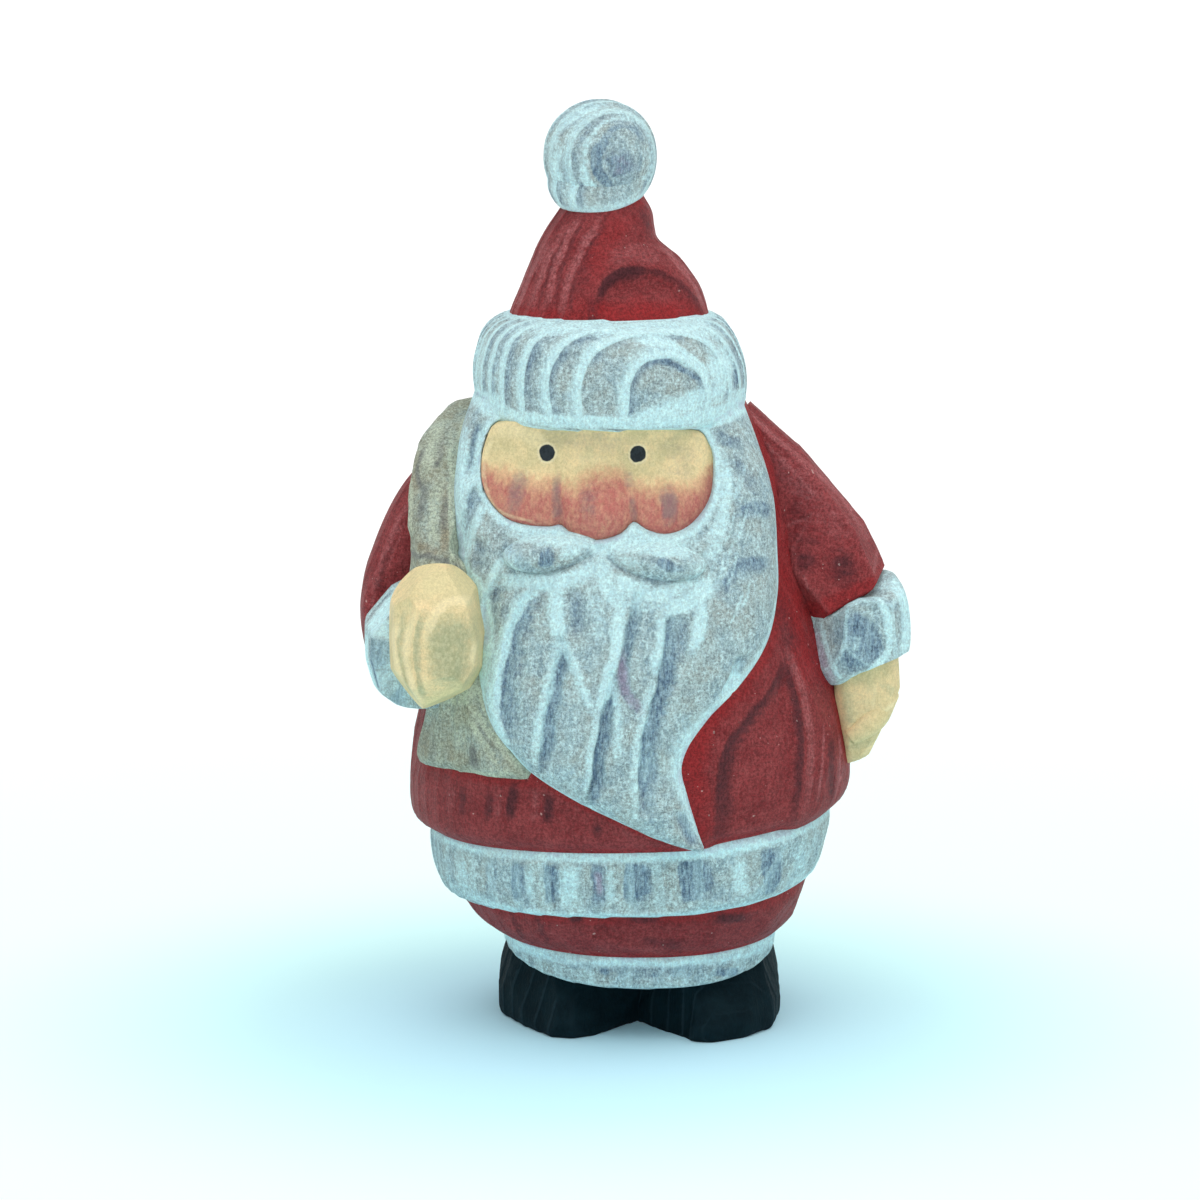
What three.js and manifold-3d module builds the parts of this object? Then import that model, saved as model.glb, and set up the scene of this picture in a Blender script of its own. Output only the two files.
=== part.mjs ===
// A small standing folk figure carved from one block of softwood: a stout man in a fur-trimmed coat and a
// bobble cap, with a long beard, a sack over one shoulder and the other hand at his side. Millimetres, +Z up,
// he faces -Y, and the origin is on the ground under the middle of his boots.
import * as THREE from 'three';
import { mergeVertices } from 'three/addons/utils/BufferGeometryUtils.js';
import Module from 'manifold-3d';

const wasm = await Module();
wasm.setup();

// Driving sizes. The tables of the free forms below are drawn as shares of these, on a pattern 110 mm tall,
// 65.5 mm across the elbows and 50 mm from the beard to the sack.
const figureHeight = 110;
const figureWidth = 65.5;
const figureDepth = 50;
const across = figureWidth / 65.5;
const deep = figureDepth / 50;
const tall = figureHeight / 110;

// Sizes of the limbs and of the knife cuts, each set by itself.
const upperArmRadius = 6.9;
const fistHeight = 17;
const fistWidth = 11.4;
const cuffLength = 8;
const cuffWall = 1;
const noseWidth = 9.6;
const bobbleRadius = 6.7;
const lockCutDepth = 0.9;
const capScoopDepth = 1.9;
const faceRecess = 2.4;
const foldDepth = 0.7;
const bootChamfer = 1.2;
const blockBelowGround = 3;

// A smooth curve through the rows of a table, read at one station. The first column is the station, and
// each further column is a cubic Hermite curve whose slope at a row is the slope between its neighbours.
function rowAt(table, station) {
  const last = table.length - 1;
  let i = table.findIndex((row) => station <= row[0]) - 1;
  if (i < -1) i = last - 1;
  i = THREE.MathUtils.clamp(i, 0, last - 1);
  const [a, b] = [table[i], table[i + 1]];
  const [before, after] = [table[Math.max(i - 1, 0)], table[Math.min(i + 2, last)]];
  const span = b[0] - a[0];
  const t = THREE.MathUtils.clamp((station - a[0]) / span, 0, 1);
  return a.slice(1).map((value, k) => {
    const column = k + 1;
    const slopeA = ((b[column] - before[column]) / (b[0] - before[0])) * span;
    const slopeB = ((after[column] - a[column]) / (after[0] - a[0])) * span;
    return (
      value * (1 + 2 * t) * (1 - t) ** 2 +
      slopeA * t * (1 - t) ** 2 +
      b[column] * t * t * (3 - 2 * t) -
      slopeB * t * t * (1 - t)
    );
  });
}

// How far a superellipse of the given squareness reaches along the unit direction (dx, dy).
function reach(dx, dy, square) {
  return (Math.abs(dx) ** square + Math.abs(dy) ** square) ** (-1 / square);
}

// A closed solid made by moving every vertex of a geometry: place(vector) sets the vector to its new place.
function solid(geometry, place = (point) => point) {
  const bare = geometry.clone();
  bare.deleteAttribute('normal');
  bare.deleteAttribute('uv');
  const places = bare.attributes.position;
  const point = new THREE.Vector3();
  for (let i = 0; i < places.count; i++) {
    point.fromBufferAttribute(places, i);
    place(point);
    places.setXYZ(i, point.x, point.y, point.z);
  }
  const merged = mergeVertices(bare, 1e-4);
  const mesh = new wasm.Mesh({
    numProp: 3,
    vertProperties: merged.attributes.position.array,
    triVerts: new Uint32Array(merged.index.array),
  });
  return new wasm.Manifold(mesh);
}

// Takes a place on the 110 mm pattern to its place on the figure.
function stretch(point) {
  return point.set(point.x * across, point.y * deep, point.z * tall);
}

// A form with level rings. Each station is [height, left, right, front, middle, back]: the ring is a
// superellipse about the middle, and carve(point, facing) may cut into it, where facing is 1 at its front.
function rings(table, { sides = 32, levels = 12, square = 2.3, rise = [0, 0], carve, turn }) {
  const lowest = table[0][0];
  const span = table.at(-1)[0] - lowest;
  const drum = new THREE.CylinderGeometry(1, 1, 1, sides, levels);
  return solid(drum, (point) => {
    const radius = Math.hypot(point.x, point.z);
    const [dx, dy] = radius > 0.5 ? [point.x / radius, -point.z / radius] : [0, 0];
    const height = lowest + (point.y + 0.5) * span;
    const [left, right, front, middle, back] = rowAt(table, height);
    const out = radius > 0.5 ? reach(dx, dy, square) : 0;
    const centre = (left + right) / 2;
    const x = centre + ((right - left) / 2) * dx * out;
    const y = middle + (dy < 0 ? middle - front : back - middle) * dy * out;
    point.set(x, y, height + rise[0] * x + rise[1] * y);
    if (carve && radius > 0.5) carve(point, Math.max(0, -dy));
    if (turn) {
      const angle = THREE.MathUtils.degToRad(turn.degrees);
      point.applyAxisAngle(new THREE.Vector3(0, 0, 1), angle);
      point.add(new THREE.Vector3(turn.at[0], turn.at[1], 0));
    }
    stretch(point);
  });
}

// A limb along a bent path. Each station is [share, x, y, z, half width, half thickness], and the ring there
// stands square to the path, with its width along the level direction across the path.
function limb(table, { sides = 14, levels = 8, square = 2.4, level = [1, 0, 0] }) {
  const drum = new THREE.CylinderGeometry(1, 1, 1, sides, levels);
  const small = 0.01;
  return solid(drum, (point) => {
    const radius = Math.hypot(point.x, point.z);
    const share = point.y + 0.5;
    const [x, y, z, wide, thick] = rowAt(table, share);
    const ahead = new THREE.Vector3(...rowAt(table, Math.min(share + small, 1)).slice(0, 3));
    const behind = new THREE.Vector3(...rowAt(table, Math.max(share - small, 0)).slice(0, 3));
    const along = ahead.sub(behind).normalize();
    const lift = new THREE.Vector3(...level).cross(along).normalize();
    const side = along.clone().cross(lift);
    const [dx, dy] = radius > 0.5 ? [point.x / radius, point.z / radius] : [0, 0];
    const out = radius > 0.5 ? reach(dx, dy, square) : 0;
    point.set(x, y, z).addScaledVector(side, wide * dx * out).addScaledVector(lift, thick * dy * out);
    stretch(point);
  });
}

// A rounded lump: a ball with half sizes [x, y, z], made boxier above squareness 2. It is turned about X, Y
// and Z in that order, in degrees.
function lump(centre, half, { around = 12, down = 8, square = 2.2, turned = [0, 0, 0] } = {}) {
  const turn = new THREE.Euler(...turned.map(THREE.MathUtils.degToRad), 'ZYX');
  return solid(new THREE.SphereGeometry(1, around, down), (point) => {
    point.set(point.x, -point.z, point.y);
    const length = point.length();
    const flat = Math.hypot(point.x, point.y);
    const plan = flat > 1e-6 ? reach(point.x / flat, point.y / flat, square) : 1;
    const out = reach(flat / length, point.z / length, square) / length;
    point.set(point.x * plan * out * half[0], point.y * plan * out * half[1], point.z * out * half[2]);
    point.applyEuler(turn).add(new THREE.Vector3(...centre));
    stretch(point);
  });
}

const smoothstep = THREE.MathUtils.smoothstep;

// The boots are one chamfered block with a notch between the toes and a shallow one between the heels.
function boots() {
  const top = 10;
  const outlines = [
    [[-16.9, -3], [-14, -8.6], [-10.6, -13.2], [-7.8, -13.8], [-5, -12.4], [0.8, -5.6], [0.8, 9],
      [-3, 12.4], [-9, 13.4], [-14.2, 11.6], [-16.9, 6]],
    [[-1.2, -5.2], [6, -15.2], [8.9, -15.4], [12.9, -13.2], [16.2, -9.3], [17.3, -3], [17.3, 6],
      [14.4, 11.6], [9, 13.4], [3, 12.4], [-1.2, 9]],
  ];
  const [left, right] = outlines.map((outline) => {
    const shape = new THREE.Shape(outline.map(([x, y]) => new THREE.Vector2(x, y)));
    const block = new THREE.ExtrudeGeometry(shape, {
      depth: top - bootChamfer + blockBelowGround,
      bevelSize: bootChamfer * 0.3,
      bevelThickness: bootChamfer,
      bevelSegments: 1,
    });
    block.translate(0, 0, -blockBelowGround);
    return solid(block, stretch);
  });
  return left.add(right);
}

// The skirt of the coat under its fur band, and the narrow fur edge that hangs over the boots.
function skirt() {
  const edge = rings(
    [
      [10.1, -15.4, 16, -15.4, 0, 12.8],
      [11.2, -16.3, 16.8, -16.7, 0, 13.6],
      [13.4, -16.7, 17.1, -17.1, 0, 14],
      [14.6, -15.6, 16, -16, 0, 13],
    ],
    { levels: 4, rise: [-0.01, 0.16] },
  );
  const cloth = rings(
    [
      [10.6, -16, 16.4, -16.3, 0, 13.6],
      [12.6, -19.2, 18.6, -18, 0, 15.2],
      [15, -21.2, 20.2, -19, 0, 16.2],
      [19, -22, 21, -19.4, 0, 16.6],
    ],
    { levels: 4 },
  );
  return edge.add(cloth);
}

function furBand() {
  return rings(
    [
      [15.5, -21.6, 20.4, -19, 0, 15.8],
      [17, -23.7, 21.7, -20.5, 0, 17],
      [20, -24.8, 22.9, -21.1, 0, 17.6],
      [23, -25.1, 23.4, -21.2, 0, 17.8],
      [25, -24.5, 23.2, -20.9, 0, 17.4],
      [26, -23.4, 22, -20, 0, 16.6],
    ],
    { levels: 5, rise: [0.045, 0] },
  );
}

function coat() {
  return rings(
    [
      [24.3, -25, 23.5, -20.6, 0, 17.4],
      [25.6, -27, 25.1, -21.7, 0, 18.5],
      [29, -27.5, 25.6, -22.3, 0, 19],
      [33, -27.3, 25.6, -22.5, 0, 19.1],
      [38, -26.4, 24.8, -22.2, 0, 18.9],
      [45, -24.8, 22.8, -20.9, 0, 18.4],
      [52, -23, 20.6, -19.3, 0, 17.8],
      [58, -21.8, 19.4, -17.8, 0, 17],
      [63, -20.4, 18, -16.2, 0, 16],
      [67, -18.8, 16.6, -14.6, 0, 14.8],
      [71, -16.6, 14.5, -12.8, 0, 13],
      [76, -13.8, 12, -10.8, 0, 11],
    ],
    { sides: 30, levels: 12, square: 2.25 },
  );
}

// The arm on the left goes down from the shoulder and forward to the fist that holds the sack.
function holdingArm() {
  const wide = upperArmRadius / across;
  const wall = cuffWall / across;
  const length = cuffLength / deep;
  const wrist = -15.6 + length;
  const sleeve = limb(
    [
      [0, -15, 2, 67.5, wide * 0.9, wide * 0.9],
      [0.3, -22, 1.5, 61, wide, wide],
      [0.6, -25.8, 1, 53, wide, wide],
      [0.78, -26.2, -2.5, 48.6, wide, wide],
      [1, -25.4, -9.5, 47.8, wide, wide * 1.05],
    ],
    { levels: 9 },
  );
  const cuff = limb(
    [
      [0, -25.6, wrist, 47.8, wide + wall * 0.5, wide + wall],
      [0.5, -25.1, wrist - length / 2, 47.9, wide + wall * 0.6, wide + wall * 1.3],
      [1, -24.6, wrist - length, 48, wide - wall * 0.2, wide + wall * 0.6],
    ],
    { levels: 3, sides: 14, square: 2.6 },
  );
  const half = [fistWidth / 2 / across, 5.2, fistHeight / 2 / tall];
  const fist = lump([-23.3, -19.2, 49.5], half, { around: 14, square: 2.6 });
  return sleeve.add(cuff).add(fist);
}

// The arm on the right hangs out from the shoulder, and its hand rests against the side of the coat.
function restingArm() {
  const wide = upperArmRadius / across;
  const length = cuffLength / tall;
  const sleeve = limb(
    [
      [0, 9.2, 2, 68.9, wide * 0.9, wide * 0.95],
      [0.35, 16.2, 1, 62.3, wide, wide],
      [0.7, 21.6, -1.5, 55, wide, wide],
      [1, 25.2, -4, 49.8, wide * 0.85, wide * 0.85],
    ],
    { levels: 8 },
  );
  const cuff = limb(
    [
      [0, 25.2, -5, 43.6 + length, wide * 0.8, wide * 0.82],
      [0.25, 25.8, -4.8, 42 + length, wide * 0.9, wide * 0.93],
      [0.75, 26.5, -4.2, 44.8, wide * 0.86, wide * 0.9],
      [1, 26.7, -3.8, 43, wide * 0.68, wide * 0.74],
    ],
    { levels: 5, sides: 12, square: 3 },
  );
  const palm = rings(
    [
      [31.3, 24.9, 26.1, -6.4, -5.2, -4],
      [33.4, 24.2, 28, -8.2, -4.5, -1],
      [37.5, 23.5, 30.2, -9.2, -4, 0.4],
      [41, 23.3, 30.9, -9.2, -4, 0.8],
      [45, 23.6, 30.6, -9, -4, 0.6],
    ],
    { sides: 12, levels: 6, square: 2.6 },
  );
  const thumb = limb(
    [
      [0, 29.4, -5.5, 40.4, 1.6, 1.6],
      [0.5, 27.6, -8, 37.6, 1.6, 1.5],
      [1, 24.9, -8.2, 35.4, 1, 1],
    ],
    { sides: 8, levels: 3 },
  );
  return sleeve.add(cuff).add(palm).add(thumb);
}

// The sack fills the back, its neck comes over the shoulder to the fist, and its gathered mouth spreads in
// a pleated fan below the fist.
function sack() {
  const bag = rings(
    [
      [29, -14, -3, 14, 16, 18.5],
      [31, -19, 3, 8, 14, 22.4],
      [37, -22.5, 6, 6, 13, 25],
      [46, -22.8, 6, 5, 12, 25.4],
      [55, -21.8, 3.6, 4, 11, 24],
      [62, -20.4, -1, 3, 10, 20.6],
      [68, -19.4, -7, 2, 9, 16.6],
      [72, -17.6, -10, 2, 8, 13],
    ],
    { sides: 18, levels: 9, square: 2.2 },
  );
  const neck = limb(
    [
      [0, -12.6, 12.5, 60, 9, 6.4],
      [0.22, -15.4, 10, 67, 7, 5.2],
      [0.42, -18.4, 3.6, 70.4, 5.6, 4.2],
      [0.62, -21.6, -4, 67.2, 4.9, 3.8],
      [0.83, -22.2, -10.4, 60, 4.7, 3.5],
      [1, -22.2, -15.4, 52, 4, 3.4],
    ],
    { levels: 10, sides: 12 },
  );
  const fanCentre = -0.5;
  const gatherHeight = 48;
  const pleat = 3.3;
  const fan = rings(
    [
      [33.2, -8.3, 7.9, -2.4, 0, 3.4],
      [34.2, -8.4, 8.2, -3.1, 0, 3.4],
      [37, -7.6, 6.2, -3.1, 0, 3.4],
      [41, -6.4, 3.6, -3.1, 0, 3.4],
      [46, -5, 1.6, -3, 0, 3.4],
    ],
    {
      sides: 36,
      levels: 5,
      square: 2.8,
      turn: { degrees: -38, at: [-19, -15.4] },
      carve: (point, facing) => {
        const spread = (gatherHeight - point.z) / 14;
        const turns = (point.x - fanCentre) / (pleat * spread);
        point.y += (foldDepth / deep) * facing * Math.abs(Math.sin(Math.PI * turns));
      },
    },
  );
  return bag.add(neck).add(fan);
}

// The V cuts between the locks of the beard: [top x, top z, bottom x, bottom z, half width, depth share].
const locks = [
  [-15.8, 57, -15, 40.5, 1.2, 0.8],
  [-9.2, 55, -12, 34.5, 1.4, 1],
  [-5.2, 49, -7.4, 31.5, 1.4, 0.8],
  [-0.6, 54, -3.8, 29.5, 1.5, 1],
  [2.4, 52, -0.8, 28, 1.3, 0.8],
  [5.8, 54, 2.6, 29, 1.3, 1],
  [10.8, 58, 5, 38, 1.2, 0.8],
];

// The face is let into the hair and beard, and this is how far inside its border a place is, 0 to 1.
function insideFace(x, z) {
  const centre = [-4.8, 70];
  const half = [13.9, 8.3];
  const away = ((Math.abs(x - centre[0]) / half[0]) ** 4 + (Math.abs(z - centre[1]) / half[1]) ** 4) ** 0.25;
  return 1 - smoothstep(away, 0.93, 1.03);
}

const beardSquare = 2.5;
const beardTable = [
  [25.1, 6, 7.4, -22.8, -21.4, -16],
  [26.3, 2.2, 7, -23.6, -21.4, -14],
  [28.5, -2.6, 6.3, -24.2, -21.2, -12],
  [31, -7.8, 5.7, -24.5, -20.6, -10],
  [34, -12.7, 5.6, -24.5, -19.4, -8],
  [36.5, -15.2, 6, -24.4, -18.4, -8],
  [40, -17.6, 8.1, -24.1, -16.8, -8],
  [43.5, -18.8, 11, -23.6, -15, -6],
  [48, -19.6, 13.9, -22.8, -13, -4],
  [53.5, -20.6, 15.6, -21.6, -11, -3],
  [58, -21.4, 16.1, -20.4, -9.6, -2],
  [64, -21.7, 15.7, -18.8, -8.6, 2],
  [68, -21.4, 14.7, -17.8, -7.6, 4],
  [72, -20.8, 13.3, -16.8, -6, 6],
  [76, -19.4, 11.8, -15.4, -4, 6],
];

// The y of a table's front surface at a place in the front view.
function frontOf(table, square, x, z) {
  const [left, right, front, middle] = rowAt(table, z);
  const share = Math.min(1, Math.abs((2 * x - left - right) / (right - left)));
  return middle - (middle - front) * (1 - share ** square) ** (1 / square);
}

// One V cut down the beard: a four-sided sliver that lies along the beard's surface.
function lockCut([topX, topZ, bottomX, bottomZ, halfWidth, share]) {
  const fullness = [0.2, 1, 1, 0.2];
  const path = fullness.map((full, i) => {
    const down = i / (fullness.length - 1);
    const x = THREE.MathUtils.lerp(topX, bottomX, down);
    const z = THREE.MathUtils.lerp(topZ, bottomZ, down);
    const y = frontOf(beardTable, beardSquare, x, z);
    return [down, x, y, z, halfWidth * full, (lockCutDepth / deep) * share * full];
  });
  return limb(path, { sides: 4, levels: 4, square: 1 });
}

// Hair and beard are one apron that starts under the brim, frames the face and ends in a point to the right.
function beard() {
  const apron = rings(beardTable, {
    sides: 44,
    levels: 20,
    square: beardSquare,
    carve: (point, facing) => {
      point.y += (faceRecess / deep) * insideFace(point.x, point.z) * smoothstep(facing, 0.2, 0.6);
    },
  });
  return locks.map(lockCut).reduce((left, cut) => left.subtract(cut), apron);
}

// The back of the head: plain hair under the brim, cut in a few upright locks.
function backHair() {
  const lockWidth = 0.42;
  return rings(
    [
      [62, -15.4, 10.4, -4, 2, 13.6],
      [64, -16.6, 11.8, -6, 2, 14.8],
      [70, -17.4, 12.4, -8, 2, 14.6],
      [76, -17.6, 11.6, -10, 2, 13.4],
    ],
    {
      sides: 24,
      levels: 3,
      carve: (point) => {
        const angle = Math.atan2(point.y - 2, point.x + 2.4);
        const behind = smoothstep(Math.sin(angle), 0.1, 0.5);
        point.y -= (lockCutDepth / deep) * 0.6 * behind * Math.abs(Math.sin(angle / lockWidth));
      },
    },
  );
}

function face() {
  const plate = rings(
    [
      [60.6, -15, 5, -16, -8, 0],
      [63, -18.6, 9, -16.9, -8, 0],
      [65, -19.2, 9.6, -17, -8, 0],
      [70, -19.3, 9.7, -16.6, -7.4, 0],
      [76, -18.6, 9.4, -15.8, -6, 0],
    ],
    { sides: 24, levels: 5, square: 3.6 },
  );
  const cheekHalf = [5.1, 4.2, 4.8];
  const lobes = [
    lump([-13.3, -13.5, 66.4], cheekHalf, { square: 2.5 }),
    lump([4.1, -13.6, 65.9], cheekHalf, { square: 2.5 }),
    lump([-4.4, -14.4, 66], [noseWidth / 2 / across, 5.2, 4.8], { square: 2.5 }),
    lump([-9.9, -18.2, 59.2], [5.6, 3.6, 2.7], { turned: [0, -7, 12] }),
    lump([1.8, -18.3, 58.9], [6.1, 3.7, 3], { turned: [0, 4, -10] }),
  ];
  return lobes.reduce((all, one) => all.add(one), plate);
}

function brim() {
  return rings(
    [
      [73, -17.2, 10.9, -16.8, -1, 12],
      [73.8, -18.7, 12.2, -18.2, -1, 13],
      [77.2, -19.7, 12.9, -19, -1, 13.8],
      [80.6, -19.4, 12.1, -18.2, -1, 13.6],
      [83, -18.5, 11, -16.4, -1, 12.8],
      [84.6, -16.8, 9.5, -14.6, -1, 11.6],
      [85.4, -14.6, 7.6, -12.6, -1, 10],
    ],
    { sides: 28, levels: 7, square: 2.35 },
  );
}

// The cap is a leaning cone with a hollow in its right side where the point folds over, and a flat scoop cut
// from its front.
function cap() {
  const cone = rings(
    [
      [83, -15.8, 8.5, -13.8, -1, 10.6],
      [85.6, -15.1, 8.1, -12.8, -1, 10],
      [88.2, -14, 7.2, -11.8, -1, 9.2],
      [90.2, -13.2, 5.9, -10.8, -1, 8.4],
      [91.6, -12.6, 4.8, -10, -1, 7.8],
      [92.6, -12.2, 3.5, -9.4, -1, 7.4],
      [93.8, -11.6, 2.2, -8.7, -1, 6.9],
      [95.2, -10.8, 1.8, -8, -1, 6.2],
      [97, -9.6, 1.5, -7, -1, 5.2],
      [99, -8.4, 0.4, -5.8, -1, 4],
    ],
    { sides: 30, levels: 12, square: 2.2 },
  );
  const scoop = lump([2, -11.9, 84.6], [7.8, capScoopDepth / deep, 7.2], {
    around: 16,
    down: 10,
    square: 2.5,
    turned: [-24, 0, 24],
  });
  return cone.subtract(scoop);
}

function bobble() {
  const half = [bobbleRadius / across, bobbleRadius / deep, bobbleRadius / tall];
  const ball = lump([-4.6, -1, 103.35], half, { around: 16, down: 11, square: 2.1 });
  const root = rings(
    [
      [96.4, -9.2, -0.2, -5.2, -1, 3.2],
      [98.6, -10, 0.8, -6, -1, 4],
      [101, -10.6, 1.4, -6.6, -1, 4.6],
    ],
    { sides: 16, levels: 3 },
  );
  return ball.add(root);
}

// The block is solid wood, so a pocket that overlapping forms close in between them is filled: of all the
// skins only the outer one, which holds the largest volume, is kept.
function filled(block) {
  return block.decompose().reduce((outer, skin) => (skin.volume() > outer.volume() ? skin : outer));
}

// Everything is one block, and the ground trims it flat under the boots.
function figure() {
  const forms = [boots(), skirt(), furBand(), coat(), holdingArm(), restingArm(), sack()];
  forms.push(beard(), backHair(), face(), brim(), cap(), bobble());
  const ground = new THREE.BoxGeometry(figureWidth * 2, figureDepth * 3, blockBelowGround * 4);
  ground.translate(0, 0, -blockBelowGround * 2);
  const block = filled(forms.reduce((all, form) => all.add(form)).subtract(solid(ground)));
  const { vertProperties, triVerts } = block.getMesh();
  const geometry = new THREE.BufferGeometry();
  geometry.setAttribute('position', new THREE.BufferAttribute(vertProperties, 3));
  geometry.setIndex(new THREE.BufferAttribute(triVerts, 1));
  geometry.computeVertexNormals();
  return geometry;
}

const paintedWood = new THREE.MeshStandardMaterial({ color: 0x8a3436, roughness: 0.62, metalness: 0 });
const carvedFigure = new THREE.Mesh(figure(), paintedWood);
carvedFigure.name = 'carved_figure';

const group = new THREE.Group();
group.add(carvedFigure);
export default group;
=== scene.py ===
import math

import bpy
import numpy as np
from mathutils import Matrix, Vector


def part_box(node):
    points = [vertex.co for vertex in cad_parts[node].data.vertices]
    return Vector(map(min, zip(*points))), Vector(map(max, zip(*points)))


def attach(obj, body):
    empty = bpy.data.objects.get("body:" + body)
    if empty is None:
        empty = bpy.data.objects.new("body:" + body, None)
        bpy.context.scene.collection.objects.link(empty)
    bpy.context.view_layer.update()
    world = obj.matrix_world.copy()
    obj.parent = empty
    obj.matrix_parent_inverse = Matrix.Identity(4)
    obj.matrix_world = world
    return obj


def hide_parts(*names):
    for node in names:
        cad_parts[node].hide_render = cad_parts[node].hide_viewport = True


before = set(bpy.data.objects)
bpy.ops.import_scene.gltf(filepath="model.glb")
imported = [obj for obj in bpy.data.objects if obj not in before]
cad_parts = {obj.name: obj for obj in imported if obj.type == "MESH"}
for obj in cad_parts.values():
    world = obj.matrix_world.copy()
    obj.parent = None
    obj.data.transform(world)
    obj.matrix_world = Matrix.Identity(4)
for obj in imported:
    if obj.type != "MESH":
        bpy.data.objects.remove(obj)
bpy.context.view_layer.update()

# A small folk figure cut from one block of softwood with a knife, then painted and rubbed back, so that the
# annual rings stand up as pale ridges with washes of colour in the hollows between them. All places below are
# millimetres on a pattern whose bobble tops out at 110.05 mm, and the carved figure in model.glb says how
# tall the real one is.
pattern_height = 110.05
figure_low, figure_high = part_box("carved_figure")
mm = (figure_high.z - figure_low.z) / pattern_height

# The block was cut beside the pith of the trunk, which stood this far behind the figure. The widths of the
# years, from a ring inside the back of the block out to the last one in front, are in the order they grew.
pith = np.array([-42.5, 101.0])
first_ring = 60.3
year_widths = [2.4] * 22 + [2.5, 2.3, 2.7, 2.4, 1.9, 1.75, 2.1, 1.0, 1.3, 1.5, 1.5, 1.6, 1.6]
ring_radii = first_ring + np.concatenate([[0], np.cumsum(year_widths)])

# A distance to the nearest seam that counts as no seam at all, in millimetres.
far_off = 9.0


# Shapes. Every piece is a grid of points: rows run up the piece or along it, and columns go round it. The
# at(u, v) of a form is its surface at the share u of the way round and the share v of the way up or along,
# and its clearance is how far a point lies outside it.


def row_at(table, station):
    """Reads a table at many stations at once. The first column is the station, and each further column is a
    cubic Hermite curve whose slope at a row is the slope between the rows on either side of it."""
    rows = np.asarray(table, float)
    stops, values = rows[:, 0], rows[:, 1:]
    before = np.maximum(np.arange(len(rows)) - 1, 0)
    after = np.minimum(np.arange(len(rows)) + 1, len(rows) - 1)
    slopes = (values[after] - values[before]) / (stops[after] - stops[before])[:, None]
    station = np.asarray(station, float)
    i = np.clip(np.searchsorted(stops, station) - 1, 0, len(rows) - 2)
    span = (stops[i + 1] - stops[i])[..., None]
    t = np.clip((station[..., None] - stops[i][..., None]) / span, 0, 1)
    return (
        values[i] * (1 + 2 * t) * (1 - t) ** 2
        + slopes[i] * span * t * (1 - t) ** 2
        + values[i + 1] * t * t * (3 - 2 * t)
        - slopes[i + 1] * span * t * t * (1 - t)
    )


def smoothstep(value, start, end):
    """0 before start and 1 after end, with 3 t squared minus 2 t cubed between them."""
    t = np.clip((value - start) / (end - start), 0, 1)
    return t * t * (3 - 2 * t)


def walked(outline):
    """The outline's corners with the first one again at the end, and how far round it each of them lies."""
    ring = np.array(outline + outline[:1], float)
    return ring, np.concatenate([[0], np.cumsum(np.linalg.norm(np.diff(ring, axis=0), axis=1))])


def reach(dx, dy, square):
    """How far a superellipse of that squareness reaches along the unit direction (dx, dy)."""
    return (np.abs(dx) ** square + np.abs(dy) ** square) ** (-1 / square)


def waves(x, y, z, size, seed=0.0):
    """A smooth uneven value between about -1 and 1: three products of sines that go through each other at
    slants, with hills about as wide as the size."""
    x, y, z = x / size, y / size, z / size
    first = np.sin(2.1 * x + 1.3 * z + seed) * np.sin(1.7 * z - 1.1 * y + 2.3 * seed)
    second = np.sin(3.9 * x - 2.2 * y + 1.9 * seed + 1) * np.sin(3.1 * z + 1.4 * x + seed)
    third = np.sin(6.3 * z + 2.6 * y + seed) * np.sin(5.7 * x - 3.3 * z + 3.1 * seed)
    return 0.55 * first + 0.3 * second + 0.2 * third


class Rings:
    """A form with level rings: at each height the ring is a superellipse about (centre, middle) that reaches
    left, right, front and back as the table says. The ring may rise with its place, then turn about Z."""

    def __init__(self, table, square=2.3, rise=lambda x, y, z: 0, carve=None, turn=None):
        self.table, self.square, self.rise = table, square, rise
        self.carve, self.turn = carve, turn
        self.low, self.high = table[0][0], table[-1][0]

    def at(self, u, v):
        angle = 2 * np.pi * u
        dx, dy = -np.sin(angle), np.cos(angle)
        height = self.low + (self.high - self.low) * v
        left, right, front, middle, back = np.moveaxis(row_at(self.table, height), -1, 0)
        out = reach(dx, dy, self.square)
        x = (left + right) / 2 + (right - left) / 2 * dx * out
        y = middle + np.where(dy < 0, middle - front, back - middle) * dy * out
        z = height + self.rise(x, y, height)
        points = np.stack(np.broadcast_arrays(x, y, z), -1)
        if self.carve:
            points[..., 1] += self.carve(points, np.maximum(0, -dy) + 0 * x)
        return self.turned(points, 1)

    def turned(self, points, way):
        """The points turned about Z and moved to their place, or moved and turned back where way is -1."""
        if not self.turn:
            return points
        angle, at = math.radians(self.turn[0]) * way, np.array([*self.turn[1], 0])
        c, s = math.cos(angle), math.sin(angle)
        spin = np.array([[c, s, 0], [-s, c, 0], [0, 0, 1]])
        return points @ spin + at if way > 0 else (points - at) @ spin

    def clearance(self, points):
        """Millimetres outside the form: how far past its ring, or past its ends, whichever is more."""
        x, y, z = np.moveaxis(self.turned(points, -1), -1, 0)
        z = z - self.rise(x, y, z)
        left, right, front, middle, back = np.moveaxis(row_at(self.table, z), -1, 0)
        dx, dy = x - (left + right) / 2, y - middle
        half = np.where(dy < 0, middle - front, back - middle)
        share = 1 / reach(dx / (right - left) * 2, dy / half, self.square)
        side = np.hypot(dx, dy) * (1 - 1 / np.maximum(share, 1e-3))
        return np.maximum(side, np.maximum(self.low - z, z - self.high))


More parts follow.
